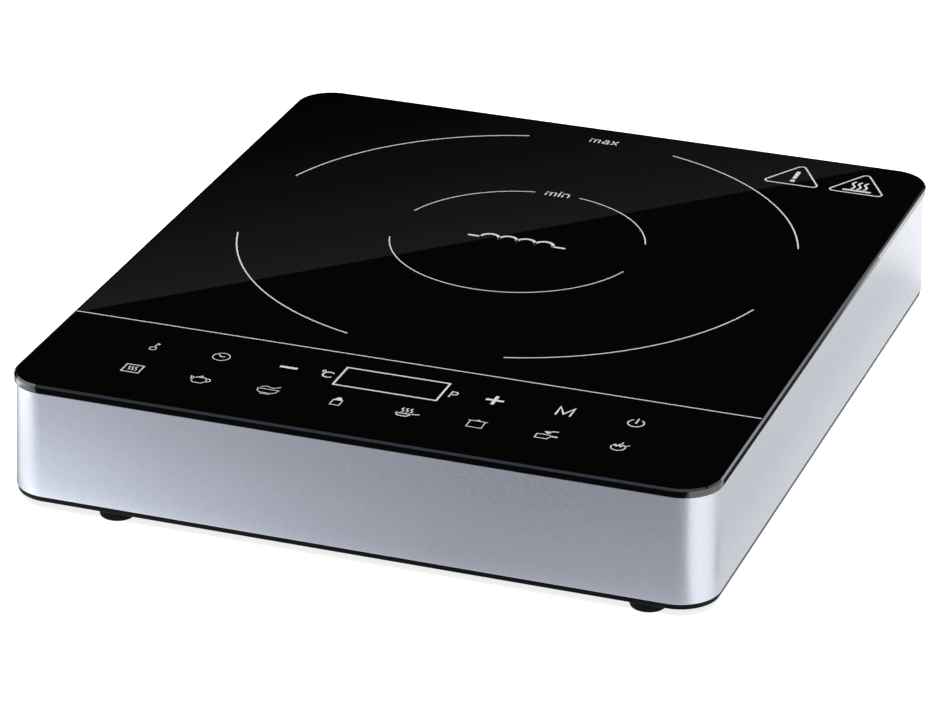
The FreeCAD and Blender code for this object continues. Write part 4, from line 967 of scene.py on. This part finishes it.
def bowl_sign(marks):
    left, right = arc((-1.6, 0), 3, 190, 255, 5), arc((1.6, 0), 3, -75, -10, 5)
    marks.line([(-4.9, 0.8), (4.9, 0.8)])
    marks.line([(-4.6, 0.6), *left, (1.6, -2.9), *right, (4.6, 0.6)])
    marks.line([(-2.2, -3.9), (2.2, -3.9)])
    marks.line([(-4, 2.6), *arc((-1.6, 1.9), 1.6, 130, 40, 4), (1.4, 2.4), (3.6, 3.6), (4.4, 4.2)])


def carton_sign(marks):
    """A milk carton."""
    marks.line([(-1.8, -3.7), (2.4, -3.7), (2.4, 1.2), (-1.8, 1.2)], 0.5, closed=True)
    marks.fill([(-1.8, 1.4), (2.4, 1.4), (1.2, 3.3), (-0.6, 3.3)])
    marks.line([(-0.4, 3.7), (1, 3.7)], 0.5)


def frying_pan_sign(marks):
    marks.line([(-4, -1), (-3, -3.3), (-1.4, -3.8), (1.4, -3.8), (2.8, -1.4)], 0.7)
    marks.line([(-4, -1.3), (2.8, -1.3), (6.2, -0.5)], 0.7)
    for x in (-2, 0, 2):
        wave(marks, x, 0.3, 3.8, 0.6, 0.6)


def pot_sign(marks):
    marks.line([(-3.2, 2.4), (-3.2, -3.7), (3.6, -3.7), (3.6, 2.4)])
    marks.line([(-4, 2.5), (4.4, 2.5)], 0.5)
    marks.line([(-0.8, 2.7), (0.2, 3.6), (1.2, 2.7)], 0.6)


def ladle_pan_sign(marks):
    marks.line([(-4.2, 0.2), (-4.2, -3.6), (1.2, -3.6), (2.2, -1.2), (1.6, 0.2)], 0.5, closed=True)
    marks.line([(2.2, -0.8), (4.8, -0.8)], 1.0)
    marks.fill([(-1.9, 3.2), (0.6, 3.6), (1.4, 2.4), (0, 1)])
    marks.line([(0.8, 3), (1.8, 4), (3.8, 4.1)], 0.7)


def steaming_dish_sign(marks):
    marks.line(arc((0.3, -0.6), 3.1, 160, 380, 20), 0.6)
    marks.line([(-2.6, 0.4), (-1.6, 1.6), (-0.8, 0.2), (0.2, 1.6), (1, 0.2), (2, 1.6), (3.2, 1.2)], 0.8)
    marks.line([(0.6, 2.2), (1.2, 3.8)], 0.7)
    marks.line([(3.2, 1), (4.4, 2.2)], 0.6)


def panel_signs():
    """The touch keys' signs, in two rows."""
    signs = Print("panel_signs", 0.45)
    upper = {0: key_sign, 1: clock_sign, 2: minus_sign, 5: plus_sign, 6: mode_letter, 7: power_sign}
    lower = [
        grill_sign, teapot_sign, bowl_sign, carton_sign,
        frying_pan_sign, pot_sign, ladle_pan_sign, steaming_dish_sign,
    ]
    for column, draw in upper.items():
        draw(signs.at(KEY_COLUMNS[column], UPPER_KEYS))
    for column, draw in enumerate(lower):
        draw(signs.at(KEY_COLUMNS[column], LOWER_KEYS))
    display_frame(signs.at(0, UPPER_KEYS))
    signs.made()


def caution_signs():
    """Two rounded triangles: a plain exclamation mark, and rising heat over a hob."""
    signs = Print("caution_signs", 0.85)
    mark_x, heat_x, level = 99.2, 131.1, 148.4
    half_width, height, corner = 14.1, 25, 2
    triangle = eased([(-half_width, 0, corner), (half_width, 0, corner), (0, height, corner)], 6)
    for x in (mark_x, heat_x):
        signs.at(x, level).line(triangle, closed=True)
    signs.at(mark_x, level)
    signs.line([(0, 8), (0, 15.5)], 2)
    signs.fill(arc((0, 4.6), 1.3, 0, 345, 23))
    signs.at(heat_x, level)
    signs.line([(-6.2, 3.2), (6.2, 3.2)], 1.7)
    for x in (-3, 0, 3):
        wave(signs, x, 5.2, 13.4, 0.9, 1.1)
    signs.made()


# ---------------------------------------------------------------- studio

def card(name, rows, glows, colour=(0.97, 0.985, 1.0), strength=1.0):
    """A card that only reflections see: rows of corner points, each with its own glow."""
    material = bpy.data.materials.new(name)
    material.use_nodes = True
    nodes, links = material.node_tree.nodes, material.node_tree.links
    nodes.clear()
    output = nodes.new("ShaderNodeOutputMaterial")
    light = nodes.new("ShaderNodeEmission")
    light.inputs["Color"].default_value = (*colour, 1)
    fade = nodes.new("ShaderNodeAttribute")
    fade.attribute_name = "glow"
    power = nodes.new("ShaderNodeMath")
    power.operation = "MULTIPLY"
    power.inputs[1].default_value = strength
    links.new(fade.outputs["Fac"], power.inputs[0])
    links.new(power.outputs["Value"], light.inputs["Strength"])
    links.new(light.outputs["Emission"], output.inputs["Surface"])

    mesh = bpy.data.meshes.new(name)
    across = len(rows[0])
    faces = [
        (first, first + 1, first + across + 1, first + across)
        for row in range(len(rows) - 1)
        for first in range(row * across, row * across + across - 1)
    ]
    mesh.from_pydata([point for row in rows for point in row], [], faces)
    attribute = mesh.attributes.new("glow", "FLOAT", "POINT")
    attribute.data.foreach_set("value", [glow for row in glows for glow in row])
    mesh.materials.append(material)
    item = add_object(name, mesh)
    item.visible_camera = False
    item.visible_diffuse = False
    item.visible_transmission = False
    item.visible_shadow = False


def slanted_card():
    """The faint card far behind, whose slanted upper edge the rear left of the glass mirrors."""
    distance, strength, right_share = 2.5, 0.105, 0.45
    left_x, left_top = -1.70, 1.462
    right_x, right_top = -0.10, 0.922
    fades = {0: 1.0, 0.03: 0.72, 0.09: 0.37, 0.15: 0.12, 0.22: 0.0}
    rows = [
        [(left_x, distance, left_top - drop), (right_x, distance, right_top - drop)]
        for drop in fades
    ]
    glows = [[glow, glow * right_share] for glow in fades.values()]
    card("slanted_card", rows, glows, (0.85, 0.95, 1.0), strength)


def heading(angle):
    """A level direction, in degrees from +X."""
    return math.cos(math.radians(angle)), math.sin(math.radians(angle))


def table_cards():
    """Cards lying round the hob that shape the sheen of its band: grey in front, white at its corners.

    The front card's glows are given by their place across the hob, from -1 to 1. Lifts and the
    other cards' glows are given by their distance from the hob. All but the corner card have a
    stripe, as far out as the upright edge of the glass mirrors it.
    """
    level, far = 0.4 * MM, 900 * MM
    x, y = BAND_SIZE.x / 2, BAND_SIZE.y / 2
    spread, lean = 1.9, 0.3
    front = {-1.0: 1.54, -0.72: 1.11, -0.42: 0.83, -0.1: 0.65, 0.25: 0.53, 0.7: 0.565, 1.0: 0.61}
    lifts = {
        0: 1.5, 12 * MM: 1.5, 22 * MM: 1.0, 100 * MM: 1.0,
        102 * MM: 0.02, 138 * MM: 0.02, 141 * MM: 1.0, far: 1.0,
    }
    rows = [
        [(x * share * (1 + spread * out / x / 2) - lean * out, -y - out, level) for share in front]
        for out in lifts
    ]
    glows = [[glow * lift for glow in front.values()] for lift in lifts.values()]
    card("front_card", rows, glows, (0.965, 0.985, 1.08))

    left = [((-x, -y), heading(angle)) for angle in (218, 206, 194, 182, 170, 158)]
    left += [
        ((-x, -y + 4 * MM), heading(146)),
        ((-x, -y + 8 * MM), heading(138)),
        ((-x, y), heading(138)),
    ]
    seam = ((x, -y * 0.92), (1, 0.6))
    corner = [((x, -y), (0.65, -0.9)), ((x, -y * 0.96), (1, 0.1)), seam]
    right = [seam, ((x, y), (1, 1))]
    left_glow, left_stripe = [1.7] * 4 + [1.5] * 2 + [0.4] * 3, [3.6] * 6 + [0.6] * 3
    corner_glow = [1.65, 1.5, 1.1]
    right_glow, right_stripe = [1.05, 1.16], [0.04, 0.04]
    fans = [
        ("left_card", left, {
            0: left_glow, 116 * MM: left_glow,
            118 * MM: left_stripe, 134 * MM: left_stripe,
            136 * MM: left_glow, far: left_glow,
        }),
        ("corner_card", corner, {0: corner_glow, far: corner_glow}),
        ("right_card", right, {
            0: right_glow, 31 * MM: right_glow,
            31.5 * MM: right_stripe, 38 * MM: right_stripe,
            39 * MM: right_glow, far: right_glow,
        }),
    ]
    for name, spokes, glows in fans:
        rows = [
            [(start[0] + way[0] * out, start[1] + way[1] * out, level) for start, way in spokes]
            for out in glows
        ]
        card(name, rows, glows.values())


def standing_cards():
    """Overhead and upright cards that the facet of the glass and the upper edge of the band mirror.

    A card has two equal rows. The glows of the overhead ones are given by X, those of the upright
    ones by the place where they stand.
    """
    ceiling = 2.2
    overhead = [
        ("overhead_card", (-1.9, -0.7), {-1.8: 0.4, 0.2: 0.85}, (0.62, 0.66, 0.95)),
        ("overhead_right", (-1.9, 0.12), {0.2: 0.85, 3.4: 0.9}, (0.7, 0.7, 0.85)),
    ]
    for name, depths, glows, colour in overhead:
        rows = [[(x, y, ceiling) for x in glows] for y in depths]
        card(name, rows, [glows.values()] * 2, colour)

    white, grey, pale, cool = (0.97, 0.985, 1.0), (0.8, 0.8, 0.9), (0.9, 0.92, 1.0), (0.85, 0.87, 1.0)
    upright = [
        ("right_wall", (1.2, ceiling), {(2.2, 0.3): 0.9, (2.2, 2.6): 1.2}, grey),
        ("front_wall", (0.1, ceiling), {(-2.4, -2.6): 1.2, (1.6, -2.6): 1.2}, white),
        ("left_wall", (0.5, 2.6), {(-1.5, -1.25): 2.1, (-1.5, 1.1): 2.1}, pale),
        ("rear_right_card", (0.35, 1.1), {
            (0.75, 2.0): 0.2, (0.95, 2.0): 0.35, (1.3, 2.0): 2.4, (1.7, 2.0): 2.4,
        }, cool),
    ]
    for name, levels, glows, colour in upright:
        rows = [[(x, y, level) for x, y in glows] for level in levels]
        card(name, rows, [glows.values()] * 2, colour)


def floor():
    """A pale light table, lit from below, so that the shadows on it are faint."""
    reach, glow = 5.0, 0.84
    made = Finish("floor_paper", (0.9, 0.9, 0.9), 0.85, specular=0.1)
    made.mottle(made.noise(30 * MM, detail=4), 0.004)
    made.shader.inputs["Emission Color"].default_value = (1, 1, 1, 1)
    made.shader.inputs["Emission Strength"].default_value = glow
    corners = [(-reach, -reach, 0), (reach, -reach, 0), (reach, reach, 0), (-reach, reach, 0)]
    mesh = bpy.data.meshes.new("floor")
    mesh.from_pydata(corners, [], [(0, 1, 2, 3)])
    mesh.materials.append(made.material)
    ground = add_object("floor", mesh)


def lights():
    """One wide key light from the user's side, and hardly any light from the room."""
    key = bpy.data.lights.new("key", "SUN")
    key.energy = 3.0
    key.angle = math.radians(40)
    towards = Vector((-0.35, 1.0, -1.75))
    item = add_object("key", key)
    item.rotation_euler = towards.to_track_quat("-Z", "Y").to_euler()
    item.visible_glossy = False
    world = bpy.data.worlds.new("studio")
    world.use_nodes = True
    room = world.node_tree.nodes["Background"]
    room.inputs["Color"].default_value = (1.0, 0.8, 0.5, 1)
    room.inputs["Strength"].default_value = 0.01
    bpy.context.scene.world = world
    bpy.context.scene.view_settings.view_transform = "Standard"


def camera():
    """A long lens, from the front right and above, as far round and as high as in the photograph."""
    place, focal_length = Vector((0.6315, -1.83199, 0.91017)), 178.18
    yaw, pitch, roll = math.radians(19.298), math.radians(24.653), math.radians(0.568)
    forward = Vector((
        -math.sin(yaw) * math.cos(pitch),
        math.cos(yaw) * math.cos(pitch),
        -math.sin(pitch),
    ))
    level_right = Vector((math.cos(yaw), math.sin(yaw), 0))
    level_up = level_right.cross(forward)
    right = level_right * math.cos(roll) + level_up * math.sin(roll)
    up = level_up * math.cos(roll) - level_right * math.sin(roll)
    data = bpy.data.cameras.new("camera")
    data.sensor_width = 36
    data.lens = focal_length
    item = add_object("camera", data)
    turned = Matrix((right, up, -forward)).transposed().to_4x4()
    item.matrix_world = Matrix.Translation(place) @ turned
    bpy.context.scene.camera = item


# ---------------------------------------------------------------- the whole scene

finish_cad_nodes()
glass_plate()
side_housing()
rubber_feet()
inlet_bushing()
litz_coil()
zone_marks()
zone_labels()
coil_sign()
panel_divider()
panel_signs()
caution_signs()
floor()
slanted_card()
table_cards()
standing_cards()
lights()
camera()
